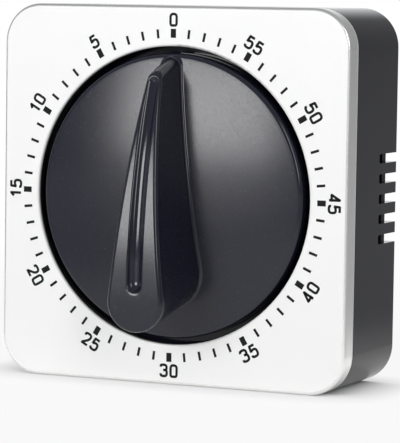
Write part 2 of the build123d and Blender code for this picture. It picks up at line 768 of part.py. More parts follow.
with BuildPart() as lever_stud:
    draw_disc(LEVER, CAM_D - PIVOT_END, FRONT_PLATE_BACK, LEVER_STUD_R)
lever_stud.part.label = "lever_stud"
export_step(lever_stud.part, "parts/lever_stud.step")

# Movement plates: the front one has ears for the screws into the case
PLATE_TALL = PLATE_HIGH - PLATE_LOW
PLATE_MID = (0.0, (PLATE_HIGH + PLATE_LOW) / 2)
with BuildPart() as front_plate:
    with BuildSketch(at_depth(FRONT_PLATE_BACK, PLATE_MID)):
        RectangleRounded(2 * PLATE_HALF, PLATE_TALL, PLATE_CORNER_R)
    extrude(amount=PLATE_THICK)
    for ear in EARS:
        draw_bar((0.0, ear[1]), EAR_R, ear, EAR_R, FRONT_PLATE_D, FRONT_PLATE_BACK)
    cut_bore(MAIN, ARBOR_R + RUN_FIT)
    cut_bore(SPRING_POST, SPRING_POST_R + PRESS_FIT)
    cut_bore(STOP, STOP_R + PRESS_FIT)
    cut_bore(LEVER, LEVER_STUD_R + PRESS_FIT)
    cut_bore(FINGER, FINGER_WINDOW_R)
    for pivot in PIVOTS:
        cut_bore(pivot, PIVOT_R + RUN_FIT)
    for pillar in PILLARS:
        cut_bore(pillar, PILLAR_SCREW_R + PRESS_FIT)
    for ear in EARS:
        cut_bore(ear, EAR_SCREW_R + HEAD_FIT)
front_plate.part.label = "front_plate"
export_step(front_plate.part, "parts/front_plate.step")

with BuildPart() as rear_plate:
    with BuildSketch(at_depth(REAR_PLATE_BACK, PLATE_MID)):
        RectangleRounded(2 * PLATE_HALF, PLATE_TALL, PLATE_CORNER_R)
    extrude(amount=PLATE_THICK)
    cut_bore(MAIN, ARBOR_R + RUN_FIT)
    cut_bore(BELL, BELL_SCREW_R + PRESS_FIT)
    for pivot in PIVOTS:
        cut_bore(pivot, PIVOT_R + RUN_FIT)
    for pillar in PILLARS:
        cut_bore(pillar, PILLAR_SCREW_R + HEAD_FIT)
rear_plate.part.label = "rear_plate"
export_step(rear_plate.part, "parts/rear_plate.step")

# Pillars between the plates, with a spigot in front and a screw hole behind
with BuildPart() as pillars:
    for pillar in PILLARS:
        draw_disc(pillar, FRONT_PLATE_BACK, REAR_PLATE_D, PILLAR_R)
        draw_disc(pillar, FRONT_PLATE_D, FRONT_PLATE_BACK, PILLAR_SCREW_R)
    with BuildSketch(at_depth(REAR_PLATE_D)):
        with Locations(*PILLARS):
            Circle(PILLAR_SCREW_R + SCREW_FIT)
    extrude(amount=PILLAR_SCREW_LENGTH, mode=Mode.SUBTRACT)
pillars.part.label = "pillars"
export_step(pillars.part, "parts/pillars.step")

with BuildPart() as pillar_screws:
    for pillar in PILLARS:
        draw_disc(pillar, REAR_PLATE_BACK, REAR_PLATE_BACK + PILLAR_HEAD_H, PILLAR_HEAD_R)
        draw_disc(pillar, REAR_PLATE_BACK - PILLAR_SCREW_LENGTH, REAR_PLATE_BACK, PILLAR_SCREW_R)
pillar_screws.part.label = "pillar_screws"
export_step(pillar_screws.part, "parts/pillar_screws.step")

# Movement screws: front plate to the bosses of the case
with BuildPart() as movement_screws:
    for ear in EARS:
        draw_disc(ear, FRONT_PLATE_BACK, FRONT_PLATE_BACK + EAR_HEAD_H, EAR_HEAD_R)
        draw_disc(ear, FRONT_PLATE_BACK - EAR_SCREW_LENGTH, FRONT_PLATE_BACK, EAR_SCREW_R)
movement_screws.part.label = "movement_screws"
export_step(movement_screws.part, "parts/movement_screws.step")

# Second wheel and its pinion arbor
with BuildPart() as second_wheel:
    teeth = wheel_points(TRAIN_MODULE, THIRD_ANGLE)
    draw_outline(teeth, SECOND, SECOND_WHEEL_D, SECOND_WHEEL_D + WHEEL_THICK)
    with BuildSketch(at_depth(SECOND_WHEEL_D + WHEEL_THICK, SECOND)):
        with PolarLocations(LIGHT_REACH, LIGHT_COUNT):
            Circle(LIGHT_R)
    extrude(amount=WHEEL_THICK, mode=Mode.SUBTRACT)
    cut_bore(SECOND, STAFF_R + PRESS_FIT)
second_wheel.part.label = "second_wheel"
export_step(second_wheel.part, "parts/second_wheel.step")

with BuildPart() as second_pinion:
    draw_staff(SECOND)
    leaves = leaf_points(GREAT_MODULE, SECOND_ANGLE)
    draw_outline(leaves, SECOND, GREAT_D - PINION_MARGIN, GREAT_D + GREAT_THICK + PINION_MARGIN)
second_pinion.part.label = "second_pinion"
export_step(second_pinion.part, "parts/second_pinion.step")

# Third wheel and its pinion arbor
with BuildPart() as third_wheel:
    teeth = wheel_points(TRAIN_MODULE, ESCAPE_ANGLE)
    draw_outline(teeth, THIRD, THIRD_WHEEL_D, THIRD_WHEEL_D + WHEEL_THICK)
    with BuildSketch(at_depth(THIRD_WHEEL_D + WHEEL_THICK, THIRD)):
        with PolarLocations(LIGHT_REACH, LIGHT_COUNT):
            Circle(LIGHT_R)
    extrude(amount=WHEEL_THICK, mode=Mode.SUBTRACT)
    cut_bore(THIRD, STAFF_R + PRESS_FIT)
third_wheel.part.label = "third_wheel"
export_step(third_wheel.part, "parts/third_wheel.step")

with BuildPart() as third_pinion:
    draw_staff(THIRD)
    leaves = leaf_points(TRAIN_MODULE, THIRD_ANGLE)
    front = SECOND_WHEEL_D - PINION_MARGIN
    draw_outline(leaves, THIRD, front, SECOND_WHEEL_D + WHEEL_THICK + PINION_MARGIN)
third_pinion.part.label = "third_pinion"
export_step(third_pinion.part, "parts/third_pinion.step")

# Escape wheel and its pinion arbor
with BuildPart() as escape_wheel:
    saw = saw_points(ESCAPE_TEETH, ESCAPE_R, ESCAPE_TOOTH, ESCAPE_LEAN_ANGLE)
    draw_outline(saw, ESCAPE, ESCAPE_D, ESCAPE_D + ESCAPE_THICK)
    cut_bore(ESCAPE, STAFF_R + PRESS_FIT)
escape_wheel.part.label = "escape_wheel"
export_step(escape_wheel.part, "parts/escape_wheel.step")

with BuildPart() as escape_pinion:
    draw_staff(ESCAPE)
    leaves = leaf_points(TRAIN_MODULE, ESCAPE_ANGLE)
    front = THIRD_WHEEL_D - PINION_MARGIN
    draw_outline(leaves, ESCAPE, front, THIRD_WHEEL_D + WHEEL_THICK + PINION_MARGIN)
escape_pinion.part.label = "escape_pinion"
export_step(escape_pinion.part, "parts/escape_pinion.step")

# Pallet anchor, its two pins, its arbor and the balance ring
PIN_REACH = ESCAPE_R + PALLET_GAP + PALLET_PIN_R
ENTRY = polar(ESCAPE, PIN_REACH, PALLET_ANGLE + PALLET_HALF_ANGLE)
EXIT = polar(ESCAPE, PIN_REACH, PALLET_ANGLE - PALLET_HALF_ANGLE)
with BuildPart() as pallet_anchor:
    for tip in (ENTRY, EXIT):
        draw_bar(PALLET, PALLET_HUB_R, tip, PALLET_ARM / 2, PALLET_D, PALLET_D + PALLET_THICK)
    cut_bore(PALLET, STAFF_R + PRESS_FIT)
    cut_bore(ENTRY, PALLET_PIN_R + PRESS_FIT)
    cut_bore(EXIT, PALLET_PIN_R + PRESS_FIT)
pallet_anchor.part.label = "pallet_anchor"
export_step(pallet_anchor.part, "parts/pallet_anchor.step")

with BuildPart() as pallet_pins:
    for tip in (ENTRY, EXIT):
        draw_disc(tip, PALLET_D, ESCAPE_D + ESCAPE_THICK + PIVOT_END, PALLET_PIN_R)
pallet_pins.part.label = "pallet_pins"
export_step(pallet_pins.part, "parts/pallet_pins.step")

with BuildPart() as pallet_arbor:
    draw_staff(PALLET)
pallet_arbor.part.label = "pallet_arbor"
export_step(pallet_arbor.part, "parts/pallet_arbor.step")

with BuildPart() as balance_ring:
    draw_disc(PALLET, BALANCE_D, BALANCE_D + BALANCE_THICK, BALANCE_R)
    with BuildSketch(at_depth(BALANCE_D + BALANCE_THICK, PALLET)):
        Circle(BALANCE_R - BALANCE_RING)
    extrude(amount=BALANCE_THICK, mode=Mode.SUBTRACT)
    with BuildSketch(at_depth(BALANCE_D + BALANCE_THICK, PALLET)):
        Rectangle(2 * BALANCE_R - BALANCE_RING, BALANCE_BAR, rotation=PALLET_ANGLE)
        Circle(PALLET_HUB_R)
    extrude(amount=BALANCE_THICK)
    cut_bore(PALLET, STAFF_R + PRESS_FIT)
balance_ring.part.label = "balance_ring"
export_step(balance_ring.part, "parts/balance_ring.step")

# Bell: shallow cup behind the rear plate, on a post with a screw
with BuildPart() as bell:
    with BuildSketch(side_plane()):
        with BuildLine():
            bore = BELL_Z + BELL_SCREW_R + HEAD_FIT
            edge = BELL_Z + BELL_R
            flat = BELL_Z + BELL_R - BELL_SHOULDER
            outer = BELL_D + BELL_RIM
            Polyline(
                (BELL_D, edge - BELL_SHEET),
                (BELL_D, edge),
                (outer, edge),
                (BELL_TOP, flat),
                (BELL_TOP, bore),
                (BELL_TOP - BELL_SHEET, bore),
                (BELL_TOP - BELL_SHEET, flat),
                (outer, edge - BELL_SHEET),
                close=True,
            )
        make_face()
    revolve(axis=axis_at(BELL))
bell.part.label = "bell"
export_step(bell.part, "parts/bell.step")

with BuildPart() as bell_post:
    draw_disc(BELL, REAR_PLATE_BACK, BELL_TOP - BELL_SHEET, BELL_POST_R)
    draw_disc(BELL, REAR_PLATE_D, REAR_PLATE_BACK, BELL_SCREW_R)
    with BuildSketch(at_depth(BELL_TOP - BELL_SHEET, BELL)):
        Circle(BELL_SCREW_R + SCREW_FIT)
    extrude(amount=BELL_SCREW_LENGTH - BELL_SHEET, mode=Mode.SUBTRACT)
bell_post.part.label = "bell_post"
export_step(bell_post.part, "parts/bell_post.step")

with BuildPart() as bell_screw:
    draw_disc(BELL, BELL_TOP, BELL_TOP + BELL_HEAD_H, BELL_HEAD_R)
    draw_disc(BELL, BELL_TOP - BELL_SCREW_LENGTH, BELL_TOP, BELL_SCREW_R)
bell_screw.part.label = "bell_screw"
export_step(bell_screw.part, "parts/bell_screw.step")

# Hammer: arm and head behind the rear plate, tail between the plates
ARM_BACK = HAMMER_D + HAMMER_ARM_THICK
with BuildPart() as hammer_arm:
    draw_bar(HAMMER, HAMMER_HUB_R, HAMMER_HEAD, HAMMER_ARM_WIDTH / 2, HAMMER_D, ARM_BACK)
    cut_bore(HAMMER, PIVOT_R + PRESS_FIT)
    cut_bore(HAMMER_HEAD, PIVOT_R + PRESS_FIT)
hammer_arm.part.label = "hammer_arm"
export_step(hammer_arm.part, "parts/hammer_arm.step")

with BuildPart() as hammer_head:
    draw_disc(HAMMER_HEAD, ARM_BACK, ARM_BACK + HAMMER_HEAD_LENGTH, HAMMER_HEAD_R)
    draw_disc(HAMMER_HEAD, HAMMER_D, ARM_BACK, PIVOT_R)
hammer_head.part.label = "hammer_head"
export_step(hammer_head.part, "parts/hammer_head.step")

with BuildPart() as hammer_arbor:
    draw_staff(HAMMER)
    draw_disc(HAMMER, REAR_PLATE_BACK, ARM_BACK, PIVOT_R)
hammer_arbor.part.label = "hammer_arbor"
export_step(hammer_arbor.part, "parts/hammer_arbor.step")

TAIL_TIP = polar(ESCAPE, ESCAPE_R + PALLET_GAP + TAIL_TIP_R, HAMMER_ANGLE)
CATCH_REACH = hypot(FINGER[0] - HAMMER[0], FINGER[1] - HAMMER[1])
CATCH_ANGLE = degrees(atan2(FINGER[1] - HAMMER[1], FINGER[0] - HAMMER[0]))
CATCH_TIP = polar(HAMMER, CATCH_REACH - FINGER_R - CATCH_GAP - TAIL_TIP_R, CATCH_ANGLE)
with BuildPart() as hammer_tail:
    for tip in (TAIL_TIP, CATCH_TIP):
        draw_bar(HAMMER, PALLET_HUB_R, tip, TAIL_TIP_R, ESCAPE_D, ESCAPE_D + TAIL_THICK)
    cut_bore(HAMMER, STAFF_R + PRESS_FIT)
hammer_tail.part.label = "hammer_tail"
export_step(hammer_tail.part, "parts/hammer_tail.step")

# Release lever in front of the front plate, with the finger that holds the hammer
NOSE = polar(MAIN, CAM_R + LEVER_NOSE_GAP + LEVER_NOSE_R, LEVER_NOSE_ANGLE)
with BuildPart() as release_lever:
    draw_bar(LEVER, LEVER_HUB_R, NOSE, LEVER_NOSE_R, CAM_D, CAM_D + CAM_THICK)
    draw_bar(LEVER, LEVER_HUB_R, FINGER, LEVER_WIDTH / 2, CAM_D, CAM_D + CAM_THICK)
    cut_bore(LEVER, LEVER_STUD_R + RUN_FIT)
    cut_bore(FINGER, FINGER_R + PRESS_FIT)
release_lever.part.label = "release_lever"
export_step(release_lever.part, "parts/release_lever.step")

with BuildPart() as release_finger:
    draw_disc(FINGER, CAM_D, ESCAPE_D + TAIL_THICK, FINGER_R)
release_finger.part.label = "release_finger"
export_step(release_finger.part, "parts/release_finger.step")
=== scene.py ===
import json
import logging
from dataclasses import dataclass, field
from enum import Enum

import bmesh
import bpy
import numpy as np
from mathutils import Matrix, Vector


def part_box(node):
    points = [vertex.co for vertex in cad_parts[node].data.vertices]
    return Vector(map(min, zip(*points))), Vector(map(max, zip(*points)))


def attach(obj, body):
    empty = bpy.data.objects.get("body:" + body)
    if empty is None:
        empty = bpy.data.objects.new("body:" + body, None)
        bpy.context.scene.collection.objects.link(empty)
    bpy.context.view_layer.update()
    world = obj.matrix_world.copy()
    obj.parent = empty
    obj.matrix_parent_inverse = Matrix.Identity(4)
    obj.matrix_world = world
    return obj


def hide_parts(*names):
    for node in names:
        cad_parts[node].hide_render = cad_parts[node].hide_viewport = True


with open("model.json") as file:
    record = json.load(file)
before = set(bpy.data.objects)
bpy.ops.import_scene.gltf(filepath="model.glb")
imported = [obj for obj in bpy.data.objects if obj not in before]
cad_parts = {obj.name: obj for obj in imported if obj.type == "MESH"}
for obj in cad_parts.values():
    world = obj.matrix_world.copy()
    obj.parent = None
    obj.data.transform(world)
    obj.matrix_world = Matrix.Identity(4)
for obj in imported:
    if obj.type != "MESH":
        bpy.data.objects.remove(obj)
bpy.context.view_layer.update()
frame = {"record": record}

LOG = logging.getLogger("kitchen_timer")
Tree = bpy.types.NodeTree
Socket = bpy.types.NodeSocket

# One millimetre in metres, and the gap in metres under which two points are one.
MM = 0.001
JOIN_GAP = 1e-7

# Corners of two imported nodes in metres, and the places and sizes that follow from them in millimetres.
CAP_LOW, CAP_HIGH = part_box("face_cap")
KNOB_LOW, KNOB_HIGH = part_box("knob")
FACE_Y = CAP_LOW.y / MM
CAP_REAR_Y = CAP_HIGH.y / MM
AXIS_Z = (CAP_LOW.z + CAP_HIGH.z) / 2 / MM
DISC_R = (KNOB_HIGH.x - KNOB_LOW.x) / 2 / MM

# Noise of a surface's grain and of its broad patches, and the span that most of the grain lies in.
GRAIN_NOISE = {"Detail": 2.0, "Roughness": 0.55}
PATCH_NOISE = {"Detail": 3.0, "Roughness": 0.5}
GRAIN_SPAN = (0.3, 0.7)
LEAST_ROUGHNESS = 0.02

# One turn of the dial in minutes, and how many lie between two numbers.
TURN_MINUTES = 60
NUMBER_STEP = 5


def srgb(code: str) -> tuple[float, float, float, float]:
    """Turn an sRGB hex colour into linear red, green, blue and alpha.

    Args:
        code: six hex digits with a leading hash.

    Returns:
        Linear colour with full alpha.
    """
    part = np.array([int(code[k:k + 2], 16) for k in (1, 3, 5)]) / 255.0
    line = np.where(part <= 0.04045, part / 12.92, ((part + 0.055) / 1.055) ** 2.4)
    return (float(line[0]), float(line[1]), float(line[2]), 1.0)


def add_node(
    tree: Tree,
    kind: str,
    inputs: dict[str, object] | None = None,
    **settings: object,
) -> bpy.types.Node:
    """Add one shader node, set its fields and fill or link its sockets.

    Args:
        tree: node tree that takes the node.
        kind: Blender's node type name.
        inputs: socket name or number to a plain value or to an output socket.
        settings: attributes of the node itself.

    Returns:
        The new node.
    """
    node = tree.nodes.new(kind)
    for name, value in settings.items():
        setattr(node, name, value)
    for name, value in (inputs or {}).items():
        socket = node.inputs[int(name)] if name.isdigit() else node.inputs[name]
        if isinstance(value, Socket):
            tree.links.new(value, socket)
        else:
            socket.default_value = value
    return node


def empty_tree(owner: bpy.types.Material | bpy.types.World | bpy.types.Light) -> Tree:
    """Let a material, world or lamp use nodes, and clear those it starts with.

    Args:
        owner: the material, world or lamp.

    Returns:
        Its empty node tree.
    """
    owner.use_nodes = True
    owner.node_tree.nodes.clear()
    return owner.node_tree


def in_sight(tree: Tree) -> Socket:
    """Tell what the camera, a mirror or glass sees from what only lights the scene.

    Args:
        tree: node tree of the backdrop.

    Returns:
        One for camera, glossy and transmission rays, zero for all others.
    """
    path = add_node(tree, "ShaderNodeLightPath")
    seen = path.outputs["Is Camera Ray"]
    for ray in ("Is Glossy Ray", "Is Transmission Ray"):
        seen = add_node(tree, "ShaderNodeMath", {
            "0": seen, "1": path.outputs[ray]}, operation="MAXIMUM").outputs[0]
    return seen


class Lay(Enum):
    """Which way a surface was worked: how close its grain lies to the right, to the back and upward."""

    EVEN = (1.0, 1.0, 1.0)
    UPRIGHT = (1.0, 1.0, 0.1)
    ROUND_AXIS = (0.2, 1.0, 0.2)
    FRONT_TO_BACK = (1.0, 0.1, 1.0)


@dataclass(frozen=True)
class Fold:
    """What shows where lacquer leaves pressed sheet free: bare metal on folds, and a dark coat down the lip
    that paints the shade of the gap round the knob.
    """

    metal: str
    # The dark coat down the lip is painted shade: it stands in for the shaded gap round the knob.
    primer: str
    metal_roughness: float = 0.26
    primer_roughness: float = 0.5
    bend_mm: float = 0.8
    bend_samples: int = 8
    turned: tuple[float, float] = (-0.985, -0.9)
    aside_mm: float = 1.0
    # A bead of pale lacquer along the flange's cut rear edge, which paints a highlight there.
    bead_mm: tuple[float, float] = (0.3, 0.45)
    primer_mm: tuple[float, float] = (0.3, 0.8)

    def shares(self, tree: Tree, bent: Socket) -> tuple[Socket, Socket]:
        """Find where the sheet is bare and where it is painted dark with shade.

        With n the normal and s the way out from the dial's axis, it is bare where n turns from the
        front and n . s > 0, up to a bead of lacquer along the cut rear edge that paints a highlight there. It
        is painted dark where n . s < 0, on the lip of the hole, and some way behind the face: painted shade
        of the gap round the knob.

        Args:
            tree: the material's node tree.
            bent: normal of the sheet with its edges rounded.

        Returns:
            Share of bare metal and share of the dark coat that paints shade down the lip.
        """
        own = add_node(tree, "ShaderNodeVectorTransform", {"Vector": bent},
                       vector_type="NORMAL", convert_from="WORLD", convert_to="OBJECT").outputs["Vector"]
        place = add_node(tree, "ShaderNodeTexCoord").outputs["Object"]
        spoke = add_node(tree, "ShaderNodeVectorMath", {
            "0": place, "1": (1.0, 0.0, 1.0), "2": (0.0, 0.0, -AXIS_Z * MM)}, operation="MULTIPLY_ADD")
        along = add_node(tree, "ShaderNodeVectorMath", {
            "0": spoke.outputs["Vector"], "1": own}, operation="DOT_PRODUCT").outputs["Value"]
        faced = add_node(tree, "ShaderNodeSeparateXYZ", {"0": own}).outputs["Y"]
        back = add_node(tree, "ShaderNodeSeparateXYZ", {"0": place}).outputs["Y"]
        spans = (
            (faced, *self.turned, "SMOOTHSTEP"),
            (along, 0.0, self.aside_mm * MM, "LINEAR"),
            # Lacquer left along the rear edge: a painted highlight.
            (back, *((CAP_REAR_Y - bead) * MM for bead in self.bead_mm), "LINEAR"),
            (along, 0.0, -self.aside_mm * MM, "LINEAR"),
            # Depth behind the face over which the lip is painted dark as shade.
            (back, *((FACE_Y + depth) * MM for depth in self.primer_mm), "LINEAR"),
        )
        folded, outward, inside, inward, deep = (
            add_node(tree, "ShaderNodeMapRange", {
                "Value": value, "From Min": zero, "From Max": one},
                interpolation_type=kind).outputs["Result"]
            for value, zero, one, kind in spans)
        bare = folded
        for mask in (outward, inside):
            bare = add_node(tree, "ShaderNodeMath", {"0": bare, "1": mask}, operation="MULTIPLY").outputs[0]
        # Dark coat down the lip: painted shade of the gap round the knob.
        painted_lip_shade = add_node(tree, "ShaderNodeMath", {"0": inward, "1": deep}, operation="MULTIPLY")
        return bare, painted_lip_shade.outputs[0]

    def cover(self, tree: Tree, lacquer: Socket) -> Socket:
        """Lay bare metal and the dark coat of painted shade over the lacquer where it leaves them free.

        Args:
            tree: the material's node tree.
            lacquer: shader of the lacquer.

        Returns:
            Shader of the whole sheet.
        """
        bent = add_node(tree, "ShaderNodeBevel", {
            "Radius": self.bend_mm * MM}, samples=self.bend_samples).outputs["Normal"]
        # The second coat is painted shade: a dark coat down the lip in place of the shaded gap round the
        # knob.
        coats = ((self.metal, 1.0, self.metal_roughness), (self.primer, 0.0, self.primer_roughness))
        surface = lacquer
        for share, (colour, metallic, roughness) in zip(self.shares(tree, bent), coats):
            coat = add_node(tree, "ShaderNodeBsdfPrincipled", {
                "Base Color": srgb(colour), "Metallic": metallic, "Roughness": roughness, "Normal": bent})
            surface = add_node(tree, "ShaderNodeMixShader", {
                "0": share, "1": surface, "2": coat.outputs["BSDF"]}).outputs[0]
        return surface


@dataclass(frozen=True)
class Finish:
    """A real surface: its colour, gloss and the size of its texture."""

    name: str
    colour: str
    shade: str
    roughness: float
    spread: float
    grain_mm: float
    depth_mm: float
    patch_mm: float
    metallic: float = 0.0
    specular: float = 0.5
    lay: Lay = Lay.EVEN
    polished: float | None = None
    fold: Fold | None = None

    def gloss(self, tree: Tree, grain: Socket) -> Socket:
        """Vary the roughness with the grain, and smooth it where the tool was polished.

        Args:
            tree: the material's node tree.
            grain: the grain's noise.

        Returns:
            The roughness.
        """
        grained = add_node(tree, "ShaderNodeMapRange", {
            "Value": grain,
            "From Min": GRAIN_SPAN[0],
            "From Max": GRAIN_SPAN[1],
            "To Min": max(self.roughness - self.spread, LEAST_ROUGHNESS),
            "To Max": min(self.roughness + self.spread, 1.0),
        })
        if self.polished is None:
            return grained.outputs["Result"]
        where = add_node(tree, "ShaderNodeAttribute", attribute_name="grained")
        mixed = add_node(tree, "ShaderNodeMix", {
            "0": where.outputs["Fac"], "2": self.polished, "3": grained.outputs["Result"]})
        return mixed.outputs[0]

    def material(self) -> bpy.types.Material:
        """Build the material once from its colour, grain and gloss.

        Returns:
            The procedural material.
        """
        made = bpy.data.materials.get(self.name)
        if made is not None:
            return made
        made = bpy.data.materials.new(self.name)
        tree = empty_tree(made)
        place = add_node(tree, "ShaderNodeTexCoord").outputs["Object"]
        sized = add_node(tree, "ShaderNodeMapping", {
            "Vector": place, "Scale": tuple(close / (self.grain_mm * MM) for close in self.lay.value)})
        grain = add_node(tree, "ShaderNodeTexNoise", {
            "Vector": sized.outputs["Vector"], "Scale": 1.0, **GRAIN_NOISE}).outputs["Fac"]
        patch = add_node(tree, "ShaderNodeTexNoise", {
            "Vector": place, "Scale": 1.0 / (self.patch_mm * MM), **PATCH_NOISE}).outputs["Fac"]
        tint = add_node(tree, "ShaderNodeMix", {
            "0": patch, "6": srgb(self.colour), "7": srgb(self.shade)}, data_type="RGBA")
        relief = add_node(tree, "ShaderNodeBump", {
            "Height": grain, "Distance": self.depth_mm * MM, "Strength": 1.0})
        surface = add_node(tree, "ShaderNodeBsdfPrincipled", {
            "Base Color": tint.outputs[2],
            "Roughness": self.gloss(tree, grain),
            "Normal": relief.outputs["Normal"],
            "Metallic": self.metallic,
            "Specular IOR Level": self.specular,
        }).outputs["BSDF"]
        if self.fold is not None:
            surface = self.fold.cover(tree, surface)
        add_node(tree, "ShaderNodeOutputMaterial", {"Surface": surface})
        return made


# Satin lacquer over pressed aluminium: pale and even, with bare satin metal on the folds, a bead of lacquer
# along the flange's rear edge that paints a highlight, and painted shade down the lip of the hole.
FACE = Finish(
    "satin_lacquered_aluminium", "#F4F4F3", "#EFEFEE", roughness=0.38, spread=0.04,
    grain_mm=0.12, depth_mm=0.0015, patch_mm=25.0, fold=Fold(metal="#F6F6F4", primer="#17150F"))
# High polish ABS: deep black, sharp reflections, very slight waviness from moulding.
CASE = Finish(
    "polished_black_abs", "#12121C", "#15151F", roughness=0.07, spread=0.02,
    grain_mm=6.0, depth_mm=0.004, patch_mm=20.0, specular=0.28)
# ABS from a spark-eroded tool: blue-black with a satin sheen, brighter on the lines where the tool was
# polished. The grain is drawn coarser than such a tool leaves it, so that it shows.
KNOB = Finish(
    "satin_black_abs", "#191A27", "#1C1D2A", roughness=0.22, spread=0.06,
    grain_mm=0.3, depth_mm=0.004, patch_mm=14.0, specular=0.46, polished=0.08)
# ABS from a coarser tool: dull black with a fine leathery grain.
COVER = Finish(
    "grained_black_abs", "#17171A", "#1C1C1F", roughness=0.52, spread=0.06,
    grain_mm=0.4, depth_mm=0.02, patch_mm=12.0)
# Screen-printing ink: dense black, slightly duller than the lacquer under it.
INK = Finish(
    "black_screen_ink", "#0E0E10", "#141416", roughness=0.6, spread=0.05,
    grain_mm=0.1, depth_mm=0.001, patch_mm=3.0, specular=0.15)
# Zinc plate on stamped steel: cool grey, lightly brushed.
STEEL = Finish(
    "zinc_plated_steel", "#B9BBBC", "#A9ABAA", roughness=0.34, spread=0.08,
    grain_mm=0.25, depth_mm=0.003, patch_mm=6.0, metallic=1.0, lay=Lay.UPRIGHT)
# Turned steel: bright, with fine rings from the lathe tool round each arbor.
TURNED = Finish(
    "turned_steel", "#C4C5C6", "#B2B3B4", roughness=0.24, spread=0.06,
    grain_mm=0.2, depth_mm=0.003, patch_mm=5.0, metallic=1.0, lay=Lay.ROUND_AXIS)
# Stamped brass: warm yellow with slight tarnish in patches.
BRASS = Finish(
    "stamped_brass", "#C9A45A", "#B8924A", roughness=0.3, spread=0.08,
    grain_mm=0.25, depth_mm=0.003, patch_mm=5.0, metallic=1.0)
# Tempered spring steel: blue-grey oxide with fine marks across the strip.
SPRING = Finish(
    "tempered_spring_steel", "#5A6472", "#485160", roughness=0.28, spread=0.06,
    grain_mm=0.3, depth_mm=0.003, patch_mm=4.0, metallic=1.0, lay=Lay.FRONT_TO_BACK)
# Nickel plate: bright and slightly warm, nearly a mirror.
NICKEL = Finish(
    "nickel_plated_bell", "#D0CFCB", "#C4C3BF", roughness=0.14, spread=0.04,
    grain_mm=0.5, depth_mm=0.001, patch_mm=8.0, metallic=1.0)
# Pressed ferrite: dull charcoal with a granular break.
FERRITE = Finish(
    "pressed_ferrite", "#2C2C2E", "#38383A", roughness=0.6, spread=0.08,
    grain_mm=0.2, depth_mm=0.01, patch_mm=3.0, specular=0.4)
# Matt painted table top: pale, even and dull.
TABLE = Finish(
    "pale_table", "#F0F0F0", "#EDEDED", roughness=0.6, spread=0.03,
    grain_mm=3.0, depth_mm=0.0, patch_mm=200.0, specular=0.3)


def mesh_piece(
    name: str,
    points: np.ndarray,
    quads: np.ndarray,
    smooth: float = 0.0,
    grained: np.ndarray | None = None,
) -> bpy.types.Object:
    """Make an object from points in millimetres and four-cornered faces.

    Points that fall together are joined, so seams and poles close, and faces are turned outward.

    Args:
        name: piece name.
        points: array of n by 3 positions.
        quads: array of m by 4 corner numbers.
        smooth: angle in degrees up to which edges are shaded smooth.
        grained: for each point one where the surface is grained and zero where it is polished.

    Returns:
        The linked object, at the origin.
    """
    mesh = bpy.data.meshes.new(name)
    mesh.from_pydata((points * MM).tolist(), [], quads.tolist())
    if grained is not None:
        mesh.attributes.new("grained", "FLOAT", "POINT").data.foreach_set("value", grained)
    form = bmesh.new()
    form.from_mesh(mesh)
    bmesh.ops.remove_doubles(form, verts=form.verts, dist=JOIN_GAP)
    bmesh.ops.recalc_face_normals(form, faces=form.faces)
    form.to_mesh(mesh)
    form.free()
    if smooth:
        mesh.shade_smooth()
        mesh.set_sharp_from_angle(angle=float(np.radians(smooth)))
    piece = bpy.data.objects.new(name, mesh)
    bpy.context.scene.collection.objects.link(piece)
    return piece


def on_face(flat: np.ndarray, height: np.ndarray | float) -> np.ndarray:
    """Put dial-plane points at a height over the face.

    Args:
        flat: n by 2 points, right and up from the dial's centre.
        height: millimetres in front of the face, for all points or for each.

    Returns:
        n by 3 points of the part's frame.
    """
    front = FACE_Y - np.broadcast_to(height, len(flat))
    return np.stack([flat[:, 0], front, flat[:, 1] + AXIS_Z], axis=1)


def tube_quads(rows: int, around: int) -> np.ndarray:
    """Number the faces of a grid whose rows are closed rings.

    Args:
        rows: number of rings.
        around: points in each ring.

    Returns:
        Four corner numbers per face.
    """
    here = np.arange(rows - 1)[:, None] * around + np.arange(around)
    beside = np.roll(here, -1, axis=1)
    return np.stack([here, beside, beside + around, here + around], axis=-1).reshape(-1, 4)


def round_max(a: np.ndarray, b: np.ndarray, radius: float) -> np.ndarray:
    """Greater of two signed distances, with the edge between them rounded.

    min(-r, max(a, b)) + |(max(a + r, 0), max(b + r, 0))| is zero on the rounded edge's surface.

    Args:
        a: first signed distance.
        b: second signed distance.
        radius: radius of the rounding.

    Returns:
        The joined signed distance.
    """
    inner = np.minimum(-radius, np.maximum(a, b))
    return inner + np.hypot(np.maximum(a + radius, 0.0), np.maximum(b + radius, 0.0))


